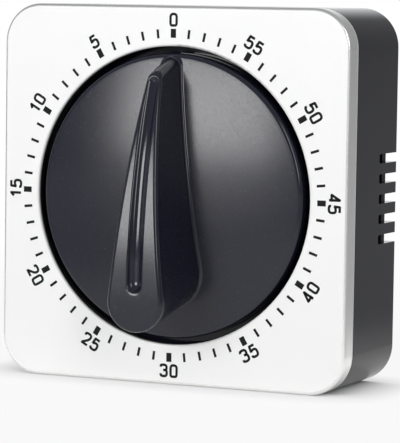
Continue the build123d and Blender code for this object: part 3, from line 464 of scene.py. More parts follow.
@dataclass
class Knob:
    """The knob's moulding: a domed disc, a tapered wing grip with an arched back, and its groove.

    The radii of the grip's two ends are given at the face and at its full reach, and each end of the
    groove by its distance from the middle of the grip's end and by its depth.
    """

    crown: float = 3.0
    rim_rise: float = 0.2
    rim: float = 1.2
    skirt: float = 3.4
    wall: float = 1.8
    hub_r: float = 4.2
    hub_bottom: float = 5.6
    bore_r: float = 2.1
    grip_reach: float = 18.0
    nose_inset: float = 2.8
    nose_r: tuple[float, float] = (2.13, 1.34)
    nose_shift: float = 5.7
    tail_inset: float = 15.24
    tail_r: tuple[float, float] = (8.19, 6.23)
    tail_shift: float = 6.54
    arch_r: float = 130.0
    arch_top: float = 17.35
    arch_shift: float = 5.14
    crest: float = 0.9
    foot: float = 0.6
    sink: float = 0.5
    groove_r: float = 1.7
    groove_nose: tuple[float, float] = (2.9, 0.6)
    groove_tail: tuple[float, float] = (2.34, 1.25)
    lip: float = 0.3
    polished_crest: float = 0.8
    smooth_up_to: float = 35.0

    # Numbers of points and rings: the disc's, then the grip's from nose to tail and from foot to back.
    around: int = 240
    dome_steps: int = 48
    rim_steps: int = 14
    under_steps: int = 16
    arc_steps: tuple[int, int, int] = (22, 84, 44)
    foot_steps: int = 9
    wall_steps: int = 16
    crest_steps: int = 10
    top_steps: int = 84

    # Rounds that bring heights and places together, and steps, probe and least slope of the settling.
    fit_rounds: int = 8
    settle_steps: int = 12
    probe: float = 1e-4
    least_slope: float = 0.05

    def __post_init__(self) -> None:
        """Work out the places that follow from the driving sizes."""
        self.nose_z = DISC_R - self.nose_inset
        self.tail_z = self.tail_inset - DISC_R
        self.arch_z = self.tail_z - self.arch_shift
        self.arch_h = self.arch_top - self.arch_r
        self.dome_r = (DISC_R ** 2 + self.crown ** 2) / (2 * self.crown)
        self.dome_h = self.rim_rise + self.crown - self.dome_r
        self.rim_d = DISC_R - self.rim
        self.rim_h = self.dome_h + np.sqrt((self.dome_r - self.rim) ** 2 - self.rim_d ** 2)

    def disc_height(self, reach: np.ndarray) -> np.ndarray:
        """Height of the disc's front over the face at a distance from its axis.

        The front is a sphere, h = c + sqrt(R^2 - d^2), up to the rim's rounding,
        h = e + sqrt(r^2 - (d - m)^2).

        Args:
            reach: distances from the axis.

        Returns:
            Heights over the face.
        """
        dome = self.dome_h + np.sqrt(self.dome_r ** 2 - np.minimum(reach, DISC_R) ** 2)
        roll = self.rim_h + np.sqrt(np.maximum(self.rim ** 2 - (reach - self.rim_d) ** 2, 0.0))
        return np.where(reach < self.rim_d * self.dome_r / (self.dome_r - self.rim), dome, roll)

    def disc(self) -> tuple[np.ndarray, np.ndarray, np.ndarray]:
        """Turn the disc's section about its axis.

        The section runs from the middle of the dome over the rim, down the skirt, back under the
        dome and round the hub, as points (distance, height); each is turned through a full circle.

        Returns:
            Points, faces, and one for grained points or zero for polished ones.
        """
        inside = DISC_R - self.wall
        under = self.dome_r - self.wall
        lean = np.arcsin(self.rim_d / (self.dome_r - self.rim))
        top = np.linspace(0.0, lean, self.dome_steps)
        roll = np.linspace(lean, np.pi / 2, self.rim_steps)[1:]
        back = np.linspace(np.arcsin(inside / under), np.arcsin(self.hub_r / under), self.under_steps)
        section = np.concatenate([
            np.stack([self.dome_r * np.sin(top), self.dome_h + self.dome_r * np.cos(top)], axis=1),
            np.stack([self.rim_d + self.rim * np.sin(roll), self.rim_h + self.rim * np.cos(roll)], axis=1),
            [(DISC_R, -self.skirt), (inside, -self.skirt)],
            np.stack([under * np.sin(back), self.dome_h + under * np.cos(back)], axis=1),
            [(self.hub_r, -self.hub_bottom), (self.bore_r, -self.hub_bottom), (self.bore_r, 0.0), (0.0, 0.0)],
        ])
        turn = np.arange(self.around) * 2 * np.pi / self.around
        reach, height = section[:, :1], section[:, 1:]
        flat = np.stack([reach * np.sin(turn), reach * np.cos(turn)], axis=-1).reshape(-1, 2)
        grained = np.repeat(np.arange(len(section)) < len(top), self.around)
        points = on_face(flat, np.repeat(height, self.around))
        return points, tube_quads(len(section), self.around), grained.astype(float)

    def hull(self, height: np.ndarray) -> tuple[np.ndarray, ...]:
        """Give the two circles that span the grip's outline at a height.

        Their places and radii change evenly from the face to the grip's full reach.

        Args:
            height: heights over the face.

        Returns:
            Nose place, nose radius, tail place and tail radius.
        """
        share = height / self.grip_reach
        return (
            self.nose_z - self.nose_shift * share,
            self.nose_r[0] + (self.nose_r[1] - self.nose_r[0]) * share,
            self.tail_z - self.tail_shift * share,
            self.tail_r[0] + (self.tail_r[1] - self.tail_r[0]) * share,
        )

    def ring(self) -> tuple[np.ndarray, np.ndarray, np.ndarray, np.ndarray]:
        """Lay out one turn round the grip, from the nose down the right side and back up the left.

        Returns:
            Share from nose to tail, how far the normal follows the straight sides, its quarter
            turn towards the nose or the tail, and the side.
        """
        nose, side, tail = (np.arange(count) / count for count in self.arc_steps)
        share = np.concatenate([nose * 0, side, tail * 0 + 1, [1.0]])
        follow = np.concatenate([nose, side * 0 + 1, 1 - tail, [0.0]])
        quarter = np.concatenate([1 - nose, side * 0, -tail, [-1.0]])
        left = np.arange(len(share) - 2, 0, -1)
        order = np.concatenate([np.arange(len(share)), left])
        hand = np.concatenate([np.ones(len(share)), -np.ones(len(left))])
        return share[order], follow[order], quarter[order], hand

    def place(self, height: np.ndarray, swell: np.ndarray, keep: np.ndarray) -> np.ndarray:
        """Put ring points on the outline of their height.

        A point is C + (keep r + swell) n: C goes from the nose's circle to the tail's, r with it,
        and n is square to the outline there.

        Args:
            height: rows by ring heights.
            swell: millimetres outside the outline.
            keep: share of the radius that is left, zero on the middle line.

        Returns:
            Rows by ring by 2 points, right and up from the dial's centre.
        """
        share, follow, quarter, hand = self.ring()
        nose_z, nose_r, tail_z, tail_r = self.hull(height)
        lean = np.arcsin((tail_r - nose_r) / (nose_z - tail_z))
        turn = follow * lean + quarter * np.pi / 2
        reach = keep * (nose_r + (tail_r - nose_r) * share) + swell
        middle = nose_z + (tail_z - nose_z) * share
        return np.stack([hand * reach * np.cos(turn), middle + reach * np.sin(turn)], axis=-1)

    def arch(self, up: np.ndarray) -> np.ndarray:
        """Height of the arched back, h = c + sqrt(R^2 - (z - a)^2).

        Args:
            up: places along the grip.

        Returns:
            Heights over the face.
        """
        return self.arch_h + np.sqrt(self.arch_r ** 2 - (up - self.arch_z) ** 2)

    def parts(self, spots: np.ndarray) -> tuple[np.ndarray, np.ndarray, np.ndarray]:
        """Signed distances of points to the grip's sides, its arched back and its groove.

        The sides are the distance to the hull of two circles, the back a cylinder, and the groove
        a round channel whose middle line is an arc over the back.

        Args:
            spots: n by 3 points: right, up and height over the face.

        Returns:
            Distance outside the sides, outside the back, and inside the groove.
        """
        right, up, height = np.abs(spots[:, 0]), spots[:, 1], spots[:, 2]
        nose_z, nose_r, tail_z, tail_r = self.hull(height)
        long = nose_z - tail_z
        sine = (tail_r - nose_r) / long
        cosine = np.sqrt(1 - sine ** 2)
        along = up - tail_z
        run = along * cosine - right * sine
        sides = np.where(
            run < 0, np.hypot(right, along) - tail_r,
            np.where(run > cosine * long, np.hypot(right, along - long) - nose_r,
                     right * cosine + along * sine - tail_r))
        back = np.hypot(up - self.arch_z, height - self.arch_h) - self.arch_r
        return sides, back, self.groove_r - self.groove_distance(right, up, height)

    def groove_distance(self, right: np.ndarray, up: np.ndarray, height: np.ndarray) -> np.ndarray:
        """Distance of points to the middle line of the groove.

        The line lies over the back by the groove's radius less its depth, which grows evenly from
        the nose to the tail; past its ends the distance is to the end point.

        Args:
            right: distances from the grip's middle plane.
            up: places along the grip.
            height: heights over the face.

        Returns:
            Distances.
        """
        first = self.nose_z - self.groove_nose[0]
        last = self.tail_z - self.groove_tail[0]
        held = np.clip(up, last, first)
        depth = np.interp(held, [last, first], [self.groove_tail[1], self.groove_nose[1]])
        line = self.arch(held) + self.groove_r - depth
        fall = (self.arch_z - held) / (line - self.arch_h)
        square = (height - line) / np.sqrt(1 + fall ** 2)
        return np.sqrt(right ** 2 + square ** 2 + (up - held) ** 2)

    def skin(self, spots: np.ndarray) -> np.ndarray:
        """Signed distance to the grip's whole surface, with crest and lips rounded.

        Args:
            spots: n by 3 points.

        Returns:
            Signed distances.
        """
        sides, back, groove = self.parts(spots)
        return round_max(round_max(sides, back, self.crest), groove, self.lip)

    def settle(self, spots: np.ndarray) -> np.ndarray:
        """Move points on to the surface by Newton steps down the gradient of its distance.

        Args:
            spots: n by 3 points near the surface.

        Returns:
            Points on the surface.
        """
        for _ in range(self.settle_steps):
            ahead = [self.skin(spots + axis) for axis in np.eye(3) * self.probe]
            behind = [self.skin(spots - axis) for axis in np.eye(3) * self.probe]
            slope = (np.stack(ahead, axis=1) - np.stack(behind, axis=1)) / (2 * self.probe)
            steep = np.maximum((slope ** 2).sum(axis=1, keepdims=True), self.least_slope)
            spots = spots - self.skin(spots)[:, None] * slope / steep
        return spots

    def foot_rows(self) -> tuple[np.ndarray, np.ndarray, np.ndarray]:
        """Lay out the rings of the foot, from the middle line inside the disc to the straight sides.

        Over the disc the foot is a quarter circle: at the angle t it stands f (1 - sin t) outside
        the outline and f (1 - cos t) over the disc.

        Returns:
            For each ring the swell outside the outline, the share of the radius that is left, and
            the rise over the disc.
        """
        curl = np.linspace(0.0, np.pi / 2, self.foot_steps)[:, None]
        swell = np.concatenate([[[0.0], [self.foot]], self.foot * (1 - np.sin(curl))])
        keep = np.ones_like(swell)
        keep[0] = 0.0
        rise = np.concatenate([[[-self.sink], [-self.sink]], self.foot * (1 - np.cos(curl))])
        return swell, keep, rise

    def back_rows(self) -> tuple[np.ndarray, np.ndarray, np.ndarray]:
        """Lay out the rings over the crest and on over the back to the middle line.

        The crest is a quarter circle: at the angle t it lies e (1 - cos t) inside the outline and
        e (1 - sin t) under the back.

        Returns:
            For each ring the swell outside the outline, the share of the radius that is left, and
            the depth under the back.
        """
        crown = np.linspace(0.0, np.pi / 2, self.crest_steps)[:, None]
        over = np.linspace(0.0, 1.0, self.top_steps)[1:, None]
        swell = -np.concatenate([self.crest * (1 - np.cos(crown)), self.crest * (1 - over)])
        keep = np.concatenate([np.ones_like(crown), 1 - over])
        under = np.concatenate([self.crest * (1 - np.sin(crown)), over * 0])
        return swell, keep, under

    def grip(self) -> tuple[np.ndarray, np.ndarray, np.ndarray]:
        """Build the grip as rings from inside the disc, up its sides and over its back.

        The foot is rounded into the disc, the sides are straight between foot and crest, and the
        rings over crest and back are settled on the rounded surface.

        Returns:
            Points, faces, and one for grained points or zero for polished ones.
        """
        foot_swell, foot_keep, rise = self.foot_rows()
        back_swell, back_keep, under = self.back_rows()
        around = len(self.ring()[0])
        low = np.zeros((len(rise), around))
        high = np.full((len(under), around), self.arch_top)
        for _ in range(self.fit_rounds):
            base = self.place(low, foot_swell, foot_keep)
            low = self.disc_height(np.linalg.norm(base, axis=-1)) + rise
            back = self.place(high, back_swell, back_keep)
            high = self.arch(back[..., 1]) - under
        share = np.linspace(0.0, 1.0, self.wall_steps)[1:-1, None]
        middle = low[-1] + (high[0] - low[-1]) * share
        walls = self.place(middle, np.zeros_like(share), np.ones_like(share))
        foot, sheer, top = (
            np.concatenate([flat.reshape(-1, 2), height.reshape(-1, 1)], axis=1)
            for flat, height in ((base, low), (walls, middle), (back, high)))
        spots = np.concatenate([foot, sheer, self.settle(top)])
        sides, _, groove = self.parts(spots)
        grained = sides < -self.polished_crest * self.crest
        grained[:len(foot) + len(sheer)] = True
        grained &= groove < -self.lip
        grained[:len(foot)] = False
        rows = len(rise) + len(share) + len(under)
        return on_face(spots[:, :2], spots[:, 2]), tube_quads(rows, around), grained.astype(float)

    def build(self) -> bpy.types.Object:
        """Build the disc and the grip as one moulding.

        Returns:
            The piece.
        """
        disc, disc_faces, disc_grain = self.disc()
        grip, grip_faces, grip_grain = self.grip()
        return mesh_piece(
            "knob_moulding",
            np.concatenate([disc, grip]),
            np.concatenate([disc_faces, grip_faces + len(disc)]),
            smooth=self.smooth_up_to,
            grained=np.concatenate([disc_grain, grip_grain]),
        )

    def dress(self, piece: bpy.types.Object) -> None:
        """Give the moulding its plastic and let it turn with the knob.

        Args:
            piece: the moulding.
        """
        piece.data.materials.append(KNOB.material())
        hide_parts("knob")
        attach(piece, "knob_set")
        LOG.info("moulded %s with %d faces", piece.name, len(piece.data.polygons))


def film(left: np.ndarray, right: np.ndarray, low: float, high: float) -> tuple[np.ndarray, np.ndarray]:
    """Closed film of ink between two edges that run side by side.

    The four long edges are the two given lines, each at two heights over the face.

    Args:
        left: n by 2 points of one edge.
        right: n by 2 points of the other edge.
        low: height of the film's underside over the face.
        high: height of its top.

    Returns:
        Points and four-cornered faces.
    """
    count = len(left)
    points = np.concatenate([
        on_face(left, high), on_face(right, high), on_face(right, low), on_face(left, low),
    ])
    step = np.arange(count - 1)
    rows = []
    for first, second in ((0, 1), (1, 2), (2, 3), (3, 0)):
        a = first * count + step
        b = second * count + step
        rows.append(np.stack([a, a + 1, b + 1, b], axis=1))
    ends = np.array([
        [0, count, 2 * count, 3 * count],
        [4 * count - 1, 3 * count - 1, 2 * count - 1, count - 1],
    ])
    return points, np.concatenate(rows + [ends])


@dataclass
class MinuteScale:
    """The printed scale on the face: sixty ticks and a number every five minutes.

    Bowls are the strokes with round corners and bars those with sharp ones, each given by the corners
    of its middle line as shares of the digit's box.
    """

    tick_middle: float = 34.2
    tick_length: float = 1.9
    tick_width: float = 0.56
    major_width: float = 1.2
    number_radius: float = 37.05
    digit_width: float = 1.96
    digit_height: float = 2.95
    digit_gap: float = 0.34
    stroke: float = 0.55
    round_corner: float = 0.68
    sharp_corner: float = 0.05
    corner_share: float = 0.48
    corner_steps: int = 9
    ink_low: float = 0.004
    ink_high: float = 0.02
    level: float = 0.01
    bowls: dict[str, list[list[tuple[float, float]]]] = field(default_factory=lambda: {
        "0": [[(0.5, 0.0), (1.0, 0.0), (1.0, 1.0), (0.0, 1.0), (0.0, 0.0), (0.5, 0.0)]],
        "2": [[(0.0, 0.74), (0.0, 1.0), (1.0, 1.0), (1.0, 0.57), (0.0, 0.0)]],
        "3": [[(0.0, 0.8), (0.0, 1.0), (0.95, 1.0), (0.95, 0.54), (0.4, 0.54)],
              [(0.4, 0.54), (1.0, 0.54), (1.0, 0.0), (0.0, 0.0), (0.0, 0.22)]],
        "5": [[(0.05, 0.5), (0.3, 0.63), (1.0, 0.63), (1.0, 0.0), (0.0, 0.0), (0.0, 0.2)]],
    })
    bars: dict[str, list[list[tuple[float, float]]]] = field(default_factory=lambda: {
        "1": [[(0.25, 0.72), (0.72, 1.0), (0.72, 0.0)]],
        "2": [[(-0.1, 0.0), (1.05, 0.0)]],
        "4": [[(0.78, 0.0), (0.78, 1.0), (0.0, 0.24), (1.0, 0.24)]],
        "5": [[(0.95, 1.0), (0.14, 1.0), (0.05, 0.46)]],
    })

    def spoke(self, minute: int) -> tuple[np.ndarray, np.ndarray]:
        """Give the directions of one minute, (-sin t, cos t) and (cos t, sin t).

        Args:
            minute: minute of the scale, counted anticlockwise from the top.

        Returns:
            The way out from the dial's axis, and the way to its right.
        """
        turn = 2 * np.pi * minute / TURN_MINUTES
        return np.array([-np.sin(turn), np.cos(turn)]), np.array([np.cos(turn), np.sin(turn)])

    def tick_edges(self, minute: int) -> tuple[np.ndarray, np.ndarray]:
        """Give the two long edges of one tick.

        Args:
            minute: minute of the scale.

        Returns:
            Left and right edge, two points each.
        """
        out, side = self.spoke(minute)
        half = (self.tick_width if minute % NUMBER_STEP else self.major_width) / 2
        reach = np.array([[-0.5], [0.5]]) * self.tick_length + self.tick_middle
        return reach * out - half * side, reach * out + half * side

    def rounded(self, corners: np.ndarray, radius: float) -> np.ndarray:
        """Carry a line through corners, each rounded by a quadratic curve.

        Between the points one radius before and after a corner the line follows
        (1-t)^2 a + 2 t (1-t) corner + t^2 b. Short runs keep a straight stretch in their middle.

        Args:
            corners: n by 2 corner points.
            radius: how far from each corner the rounding starts.

        Returns:
            Points along the line.
        """
        before, here, after = corners[:-2], corners[1:-1], corners[2:]
        ends = []
        for run in (before - here, after - here):
            long = np.linalg.norm(run, axis=1, keepdims=True)
            ends.append(here + run / long * np.minimum(radius, long * self.corner_share))
        start, stop = ends
        t = np.linspace(0.0, 1.0, self.corner_steps)[None, :, None]
        bend = (1 - t) ** 2 * start[:, None] + 2 * t * (1 - t) * here[:, None] + t ** 2 * stop[:, None]
        return np.concatenate([corners[:1], bend.reshape(-1, 2), corners[-1:]])

    def stroke_edges(
        self, route: list[tuple[float, float]], corner: float
    ) -> tuple[np.ndarray, np.ndarray]:
        """Give the two edges of one stroke in the digit's own box.

        The edges lie half a stroke to each side of the middle line, along its normal.

        Args:
            route: corners of the middle line, as shares of the box.
            corner: rounding of the corners.

        Returns:
            Left and right edge.
        """
        room = np.array([self.digit_width - self.stroke, self.digit_height - self.stroke])
        line = self.rounded(np.array(route) * room + self.stroke / 2, corner)
        along = np.gradient(line, axis=0)
        along /= np.linalg.norm(along, axis=1, keepdims=True)
        normal = np.stack([-along[:, 1], along[:, 0]], axis=1) * self.stroke / 2
        return line + normal, line - normal

    def number_edges(self, minute: int) -> list[tuple[np.ndarray, np.ndarray]]:
        """Place the digits of one number on the scale.

        Numbers in the lower half, where the way out falls by more than level, stand with their tops
        inwards, so they read upright.

        Args:
            minute: minute that the number gives.

        Returns:
            One pair of edges per stroke.
        """
        out, side = self.spoke(minute)
        way = -1.0 if out[1] < -self.level else 1.0
        up, right = way * out, way * side
        text = str(minute)
        step = self.digit_width + self.digit_gap
        wide = step * len(text) - self.digit_gap
        placed = []
        for place, digit in enumerate(text):
            shift = np.array([place * step - wide / 2, -self.digit_height / 2])
            bowls = [self.stroke_edges(route, self.round_corner) for route in self.bowls.get(digit, [])]
            bars = [self.stroke_edges(route, self.sharp_corner) for route in self.bars.get(digit, [])]
            for pair in bowls + bars:
                left_edge, right_edge = (
                    (edge + shift)[:, :1] * right + (edge + shift)[:, 1:] * up + self.number_radius * out
                    for edge in pair)
                placed.append((left_edge, right_edge))
        return placed

    def build(self) -> list[bpy.types.Object]:
        """Build the ticks and the numbers as two films of ink.

        Returns:
            The two pieces.
        """
        ticks = [self.tick_edges(minute) for minute in range(TURN_MINUTES)]
        numbers = [
            pair for minute in range(0, TURN_MINUTES, NUMBER_STEP) for pair in self.number_edges(minute)]
        pieces = []
        for name, pairs in (("dial_ticks", ticks), ("dial_numbers", numbers)):
            points, quads, used = [], [], 0
            for left, right in pairs:
                spots, faces = film(left, right, self.ink_low, self.ink_high)
                points.append(spots)
                quads.append(faces + used)
                used += len(spots)
            pieces.append(mesh_piece(name, np.concatenate(points), np.concatenate(quads)))
        return pieces

    def dress(self, pieces: list[bpy.types.Object]) -> None:
        """Give the print its ink and let it ride on the case.

        Args:
            pieces: the two films.
        """
        for piece in pieces:
            piece.data.materials.append(INK.material())
            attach(piece, "case")
            LOG.info("printed %s", piece.name)


@dataclass
class Nodes:
    """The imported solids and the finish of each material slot."""

    finishes: dict[str, Finish] = field(default_factory=lambda: {
        "face_metal": FACE, "case_plastic": CASE, "cover_plastic": COVER, "knob_plastic": KNOB,
        "screw_steel": STEEL, "magnet_ferrite": FERRITE, "spring_steel": SPRING,
        "bell_steel": NICKEL, "arbor_steel": TURNED, "plate_steel": STEEL, "wheel_brass": BRASS,
    })

    def dress(self) -> None:
        """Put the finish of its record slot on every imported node."""
        slots = {part["node"]: part["material_slot"] for part in frame["record"]["subparts"]}
        for name, slot in slots.items():
            node = bpy.data.objects[name]
            node.data.materials.clear()
            node.data.materials.append(self.finishes[slot].material())
            LOG.info("dressed %s", name)


def facing(bearing: float, rise: float) -> tuple[np.ndarray, np.ndarray, np.ndarray]:
    """Axes of a lamp or camera that looks back along a bearing and a rise.

    With b from straight ahead towards the right and r from level to overhead, back is
    (sin b cos r, -cos b cos r, sin r), right is (cos b, sin b, 0) and up is back x right.

    Args:
        bearing: degrees from straight ahead.
        rise: degrees from level.

    Returns:
        Right, up and back.
    """
    b, r = np.radians([bearing, rise])
    back = np.array([np.sin(b) * np.cos(r), -np.cos(b) * np.cos(r), np.sin(r)])
    right = np.array([np.cos(b), np.sin(b), 0.0])
    return right, np.cross(back, right), back


def stand(
    name: str,
    tool: bpy.types.Camera | bpy.types.Light,
    axes: tuple[np.ndarray, np.ndarray, np.ndarray],
    spot: np.ndarray,
) -> bpy.types.Object:
    """Stand a lamp or camera at a spot.

    Args:
        name: object name.
        tool: the lamp or camera.
        axes: its right, up and back.
        spot: its place in metres.

    Returns:
        The linked object.
    """
    seat = bpy.data.objects.new(name, tool)
    turn = Matrix(np.stack(axes, axis=1).tolist()).to_4x4()
    seat.matrix_world = Matrix.Translation(spot.tolist()) @ turn
    bpy.context.scene.collection.objects.link(seat)
    return seat


@dataclass(frozen=True)
class SoftBox:
    """One soft studio lamp, placed by its bearing from the timer, with its sizes in metres."""

    name: str
    bearing: float
    rise: float
    wide: float
    tall: float
    radiance: float
    distance: float = 2.0
    soft: float = 0.4

    def cloth(self, light: bpy.types.AreaLight) -> None:
        """Let the lamp's cloth grow darker towards its edges.

        Across and along, the brightness is smoothstep((1 - |2 u - 1|) / soft).

        Args:
            light: the lamp.
        """
        tree = empty_tree(light)
        spot = add_node(tree, "ShaderNodeNewGeometry").outputs["Parametric"]
        split = add_node(tree, "ShaderNodeSeparateXYZ", {"0": spot})
        half = 0.5
        shares = []
        for axis in ("X", "Y"):
            middle = add_node(tree, "ShaderNodeMath", {
                "0": split.outputs[axis], "1": half}, operation="SUBTRACT")
            off = add_node(tree, "ShaderNodeMath", {"0": middle.outputs[0]}, operation="ABSOLUTE")
            fade = add_node(tree, "ShaderNodeMapRange", {
                "Value": off.outputs[0], "From Min": half, "From Max": half * (1 - self.soft)},
                interpolation_type="SMOOTHSTEP")
            shares.append(fade.outputs["Result"])
        share = add_node(tree, "ShaderNodeMath", {"0": shares[0], "1": shares[1]}, operation="MULTIPLY")
        glow = add_node(tree, "ShaderNodeEmission", {"Strength": share.outputs[0]})
        add_node(tree, "ShaderNodeOutputLight", {"Surface": glow.outputs[0]})

    def hang(self) -> None:
        """Hang the lamp so that it looks at the middle of the dial.

        The lamp's power is its radiance times pi times its area.
        """
        light = bpy.data.lights.new(self.name, "AREA")
        light.shape = "RECTANGLE"
        light.size = self.wide
        light.size_y = self.tall
        light.energy = self.radiance * float(np.pi) * self.wide * self.tall
        self.cloth(light)
        axes = facing(self.bearing, self.rise)
        stand(self.name, light, axes, axes[2] * self.distance + np.array([0.0, 0.0, AXIS_Z * MM]))
        LOG.info("hung %s", self.name)


@dataclass
class Studio:
    """Table, white paper, lamps, room light and camera, in millimetres and degrees."""

    table_half: float = 3000.0
    paper_lift: float = -0.05
    paper_front: float = 190.0
    paper_back: float = 60000.0
    paper_half: float = 130.0
    paper_spread: float = 0.1
    paper_colour: str = "#F3F3F3"

    # The paper's whitening grows from whitened to full between two distances from the timer, runs out
    # from white_half to the paper's sides, and leaves a contact shadow about as wide as contact.
    white_half: float = 46.0
    white_from: float = 60.0
    white_to: float = 400.0
    whitened: float = 0.9
    white_colour: str = "#FFFFFF"
    contact: float = 11.0
    contact_samples: int = 16

    # The room's light, level and overhead, and the angles between which the wall behind fades in.
    room_low: float = 0.31
    room_high: float = 0.4
    room_colour: str = "#FAFBFD"
    wall_angles: tuple[float, float] = (34.0, 16.0)
    lamps: tuple[SoftBox, ...] = (
        SoftBox("front_softbox", bearing=-19.5, rise=12.0, wide=1.34, tall=0.8, radiance=9.9),
        SoftBox("side_softbox", bearing=46.0, rise=20.0, wide=0.4, tall=1.3, radiance=6.3),
    )

    # The camera, from the middle of the face, its lens in pixels, and the metres between which it sees.
    camera_mm: tuple[float, float, float] = (252.04, -532.94, 43.32)
    yaw: float = 24.712
    pitch: float = 4.712
    roll: float = 0.857
    focal_px: float = 2807.6
    tall_px: float = 443.0
    sensor_mm: float = 36.0
    sees_m: tuple[float, float] = (0.01, 200.0)

    def floor_axes(self) -> tuple[np.ndarray, np.ndarray]:
        """Give the level directions to the camera's right and away from it."""
        right, _, back = facing(self.yaw, 0.0)
        return right, -back

    def table(self) -> None:
        """Lay the pale table under the paper."""
        h = self.table_half
        low = 2 * self.paper_lift
        corners = np.array([[-h, -h, low], [h, -h, low], [h, h, low], [-h, h, low]])
        piece = mesh_piece("table", corners, np.array([[0, 1, 2, 3]]))
        piece.data.materials.append(TABLE.material())

    def paper(self) -> None:
        """Lay white paper on the table, under the timer and away behind it, wider as it goes.

        At the distance d behind the timer the paper reaches half + spread * max(d, 0) to each side.
        """
        away = np.array([-self.paper_front, 0.0, self.paper_back])
        reach = self.paper_half + self.paper_spread * np.maximum(away, 0.0)
        sides = np.array([-1.0, 1.0])[:, None] * reach
        right, behind = self.floor_axes()
        flat = sides[..., None] * right + away[:, None] * behind
        points = flat.reshape(-1, 3) + [0.0, 0.0, self.paper_lift]
        step = np.arange(len(away) - 1)
        quads = np.stack([step, step + len(away), step + len(away) + 1, step + 1], axis=1)
        piece = mesh_piece("paper", points, quads)
        piece.data.materials.append(self.white_paper())

    def whitening(self, tree: Tree) -> Socket:
        """Work out how far the paper is whitened.

        It grows with the distance from the timer, runs out towards the paper's sides, and leaves
        the contact shadow under the timer. What lights the timer is never whitened.

        Args:
            tree: the paper's node tree.

        Returns:
            Share of plain white.
        """
        place = add_node(tree, "ShaderNodeTexCoord").outputs["Object"]
        away = add_node(tree, "ShaderNodeVectorMath", {"0": place}, operation="LENGTH")
        far = add_node(tree, "ShaderNodeMapRange", {
            "Value": away.outputs["Value"], "From Min": self.white_from * MM, "From Max": self.white_to * MM,
            "To Min": self.whitened, "To Max": 1.0}, interpolation_type="SMOOTHSTEP")
        right, behind = (
            add_node(tree, "ShaderNodeVectorMath", {
                "0": place, "1": tuple(axis.tolist())}, operation="DOT_PRODUCT").outputs["Value"]
            for axis in self.floor_axes())
        aside = add_node(tree, "ShaderNodeMath", {"0": right}, operation="ABSOLUTE")
        beyond = add_node(tree, "ShaderNodeMath", {"0": behind, "1": 0.0}, operation="MAXIMUM")
        outside = add_node(tree, "ShaderNodeMath", {
            "0": beyond.outputs[0], "1": -self.paper_spread, "2": aside.outputs[0]}, operation="MULTIPLY_ADD")
        inner = add_node(tree, "ShaderNodeMapRange", {
            "Value": outside.outputs[0], "From Min": self.white_half * MM, "From Max": self.paper_half * MM,
            "To Min": 1.0, "To Max": 0.0}, interpolation_type="SMOOTHSTEP")
        clear = add_node(tree, "ShaderNodeAmbientOcclusion", {
            "Distance": self.contact * MM}, samples=self.contact_samples)
        share = in_sight(tree)
        for part in (far.outputs["Result"], inner.outputs["Result"], clear.outputs["AO"]):
            share = add_node(tree, "ShaderNodeMath", {"0": share, "1": part}, operation="MULTIPLY").outputs[0]
        return share

    def white_paper(self) -> bpy.types.Material:
        """Make the paper, whitened where the camera, a mirror or glass sees it.

        Returns:
            The material.
        """
        made = bpy.data.materials.new("white_paper")
        tree = empty_tree(made)
        paper = add_node(tree, "ShaderNodeBsdfDiffuse", {"Color": srgb(self.paper_colour)})
        white = add_node(tree, "ShaderNodeEmission", {"Color": srgb(self.white_colour), "Strength": 1.0})
        pick = add_node(tree, "ShaderNodeMixShader", {
            "0": self.whitening(tree), "1": paper.outputs[0], "2": white.outputs[0]})
        add_node(tree, "ShaderNodeOutputMaterial", {"Surface": pick.outputs[0]})
        return made

    def world(self) -> None:
        """Set the soft grey light of the room, brighter overhead, with a white wall behind the timer.

        The wall fades in between its two angles from the direction straight behind, and only where
        the camera, a mirror or glass sees it.
        """
        world = bpy.data.worlds.new("studio")
        bpy.context.scene.world = world
        tree = empty_tree(world)
        aim = add_node(tree, "ShaderNodeTexCoord").outputs["Generated"]
        rise = add_node(tree, "ShaderNodeSeparateXYZ", {"0": aim}).outputs["Z"]
        level = add_node(tree, "ShaderNodeMapRange", {
            "Value": rise, "From Min": 0.0, "From Max": 1.0,
            "To Min": self.room_low, "To Max": self.room_high})
        _, away = self.floor_axes()
        behind = add_node(tree, "ShaderNodeVectorMath", {
            "0": aim, "1": tuple(away.tolist())}, operation="DOT_PRODUCT")
        edge, full = np.cos(np.radians(self.wall_angles)).tolist()
        wall = add_node(tree, "ShaderNodeMapRange", {
            "Value": behind.outputs["Value"], "From Min": edge, "From Max": full},
            interpolation_type="SMOOTHSTEP")
        shown = add_node(tree, "ShaderNodeMath", {
            "0": wall.outputs["Result"], "1": in_sight(tree)}, operation="MULTIPLY")
        lit = add_node(tree, "ShaderNodeMix", {
            "0": shown.outputs[0], "2": level.outputs["Result"], "3": 1.0})
        soft = add_node(tree, "ShaderNodeBackground", {
            "Color": srgb(self.room_colour), "Strength": lit.outputs[0]})
        add_node(tree, "ShaderNodeOutputWorld", {"Surface": soft.outputs[0]})

    def camera(self) -> None:
        """Stand the camera where the photograph was taken, measured from the middle of the face."""
        right, up, back = facing(self.yaw, self.pitch)
        roll = np.radians(self.roll)
        side = np.cos(roll) * right + np.sin(roll) * up
        rise = -np.sin(roll) * right + np.cos(roll) * up
        lens = bpy.data.cameras.new("camera")
        lens.sensor_width = self.sensor_mm
        lens.lens = self.focal_px / self.tall_px * self.sensor_mm
        lens.clip_start, lens.clip_end = self.sees_m
        spot = np.array(self.camera_mm) + [0.0, FACE_Y, AXIS_Z]
        bpy.context.scene.camera = stand("camera", lens, (side, rise, back), spot * MM)

    def build(self) -> None:
        """Set the whole studio."""
        self.table()
        self.paper()
        self.world()
        self.camera()
        for lamp in self.lamps:
            lamp.hang()
        bpy.context.scene.view_settings.view_transform = "Standard"


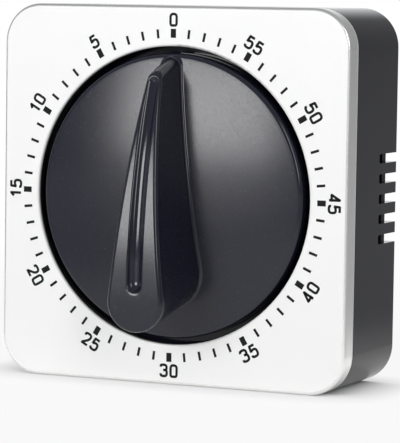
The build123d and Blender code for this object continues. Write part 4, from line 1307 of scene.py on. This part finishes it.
def main() -> None:
    """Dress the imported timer, mould its knob, print its dial and set the studio."""
    logging.basicConfig(level=logging.INFO)
    Nodes().dress()
    knob = Knob()
    knob.dress(knob.build())
    scale = MinuteScale()
    scale.dress(scale.build())
    Studio().build()


if __name__ == "__main__":
    main()
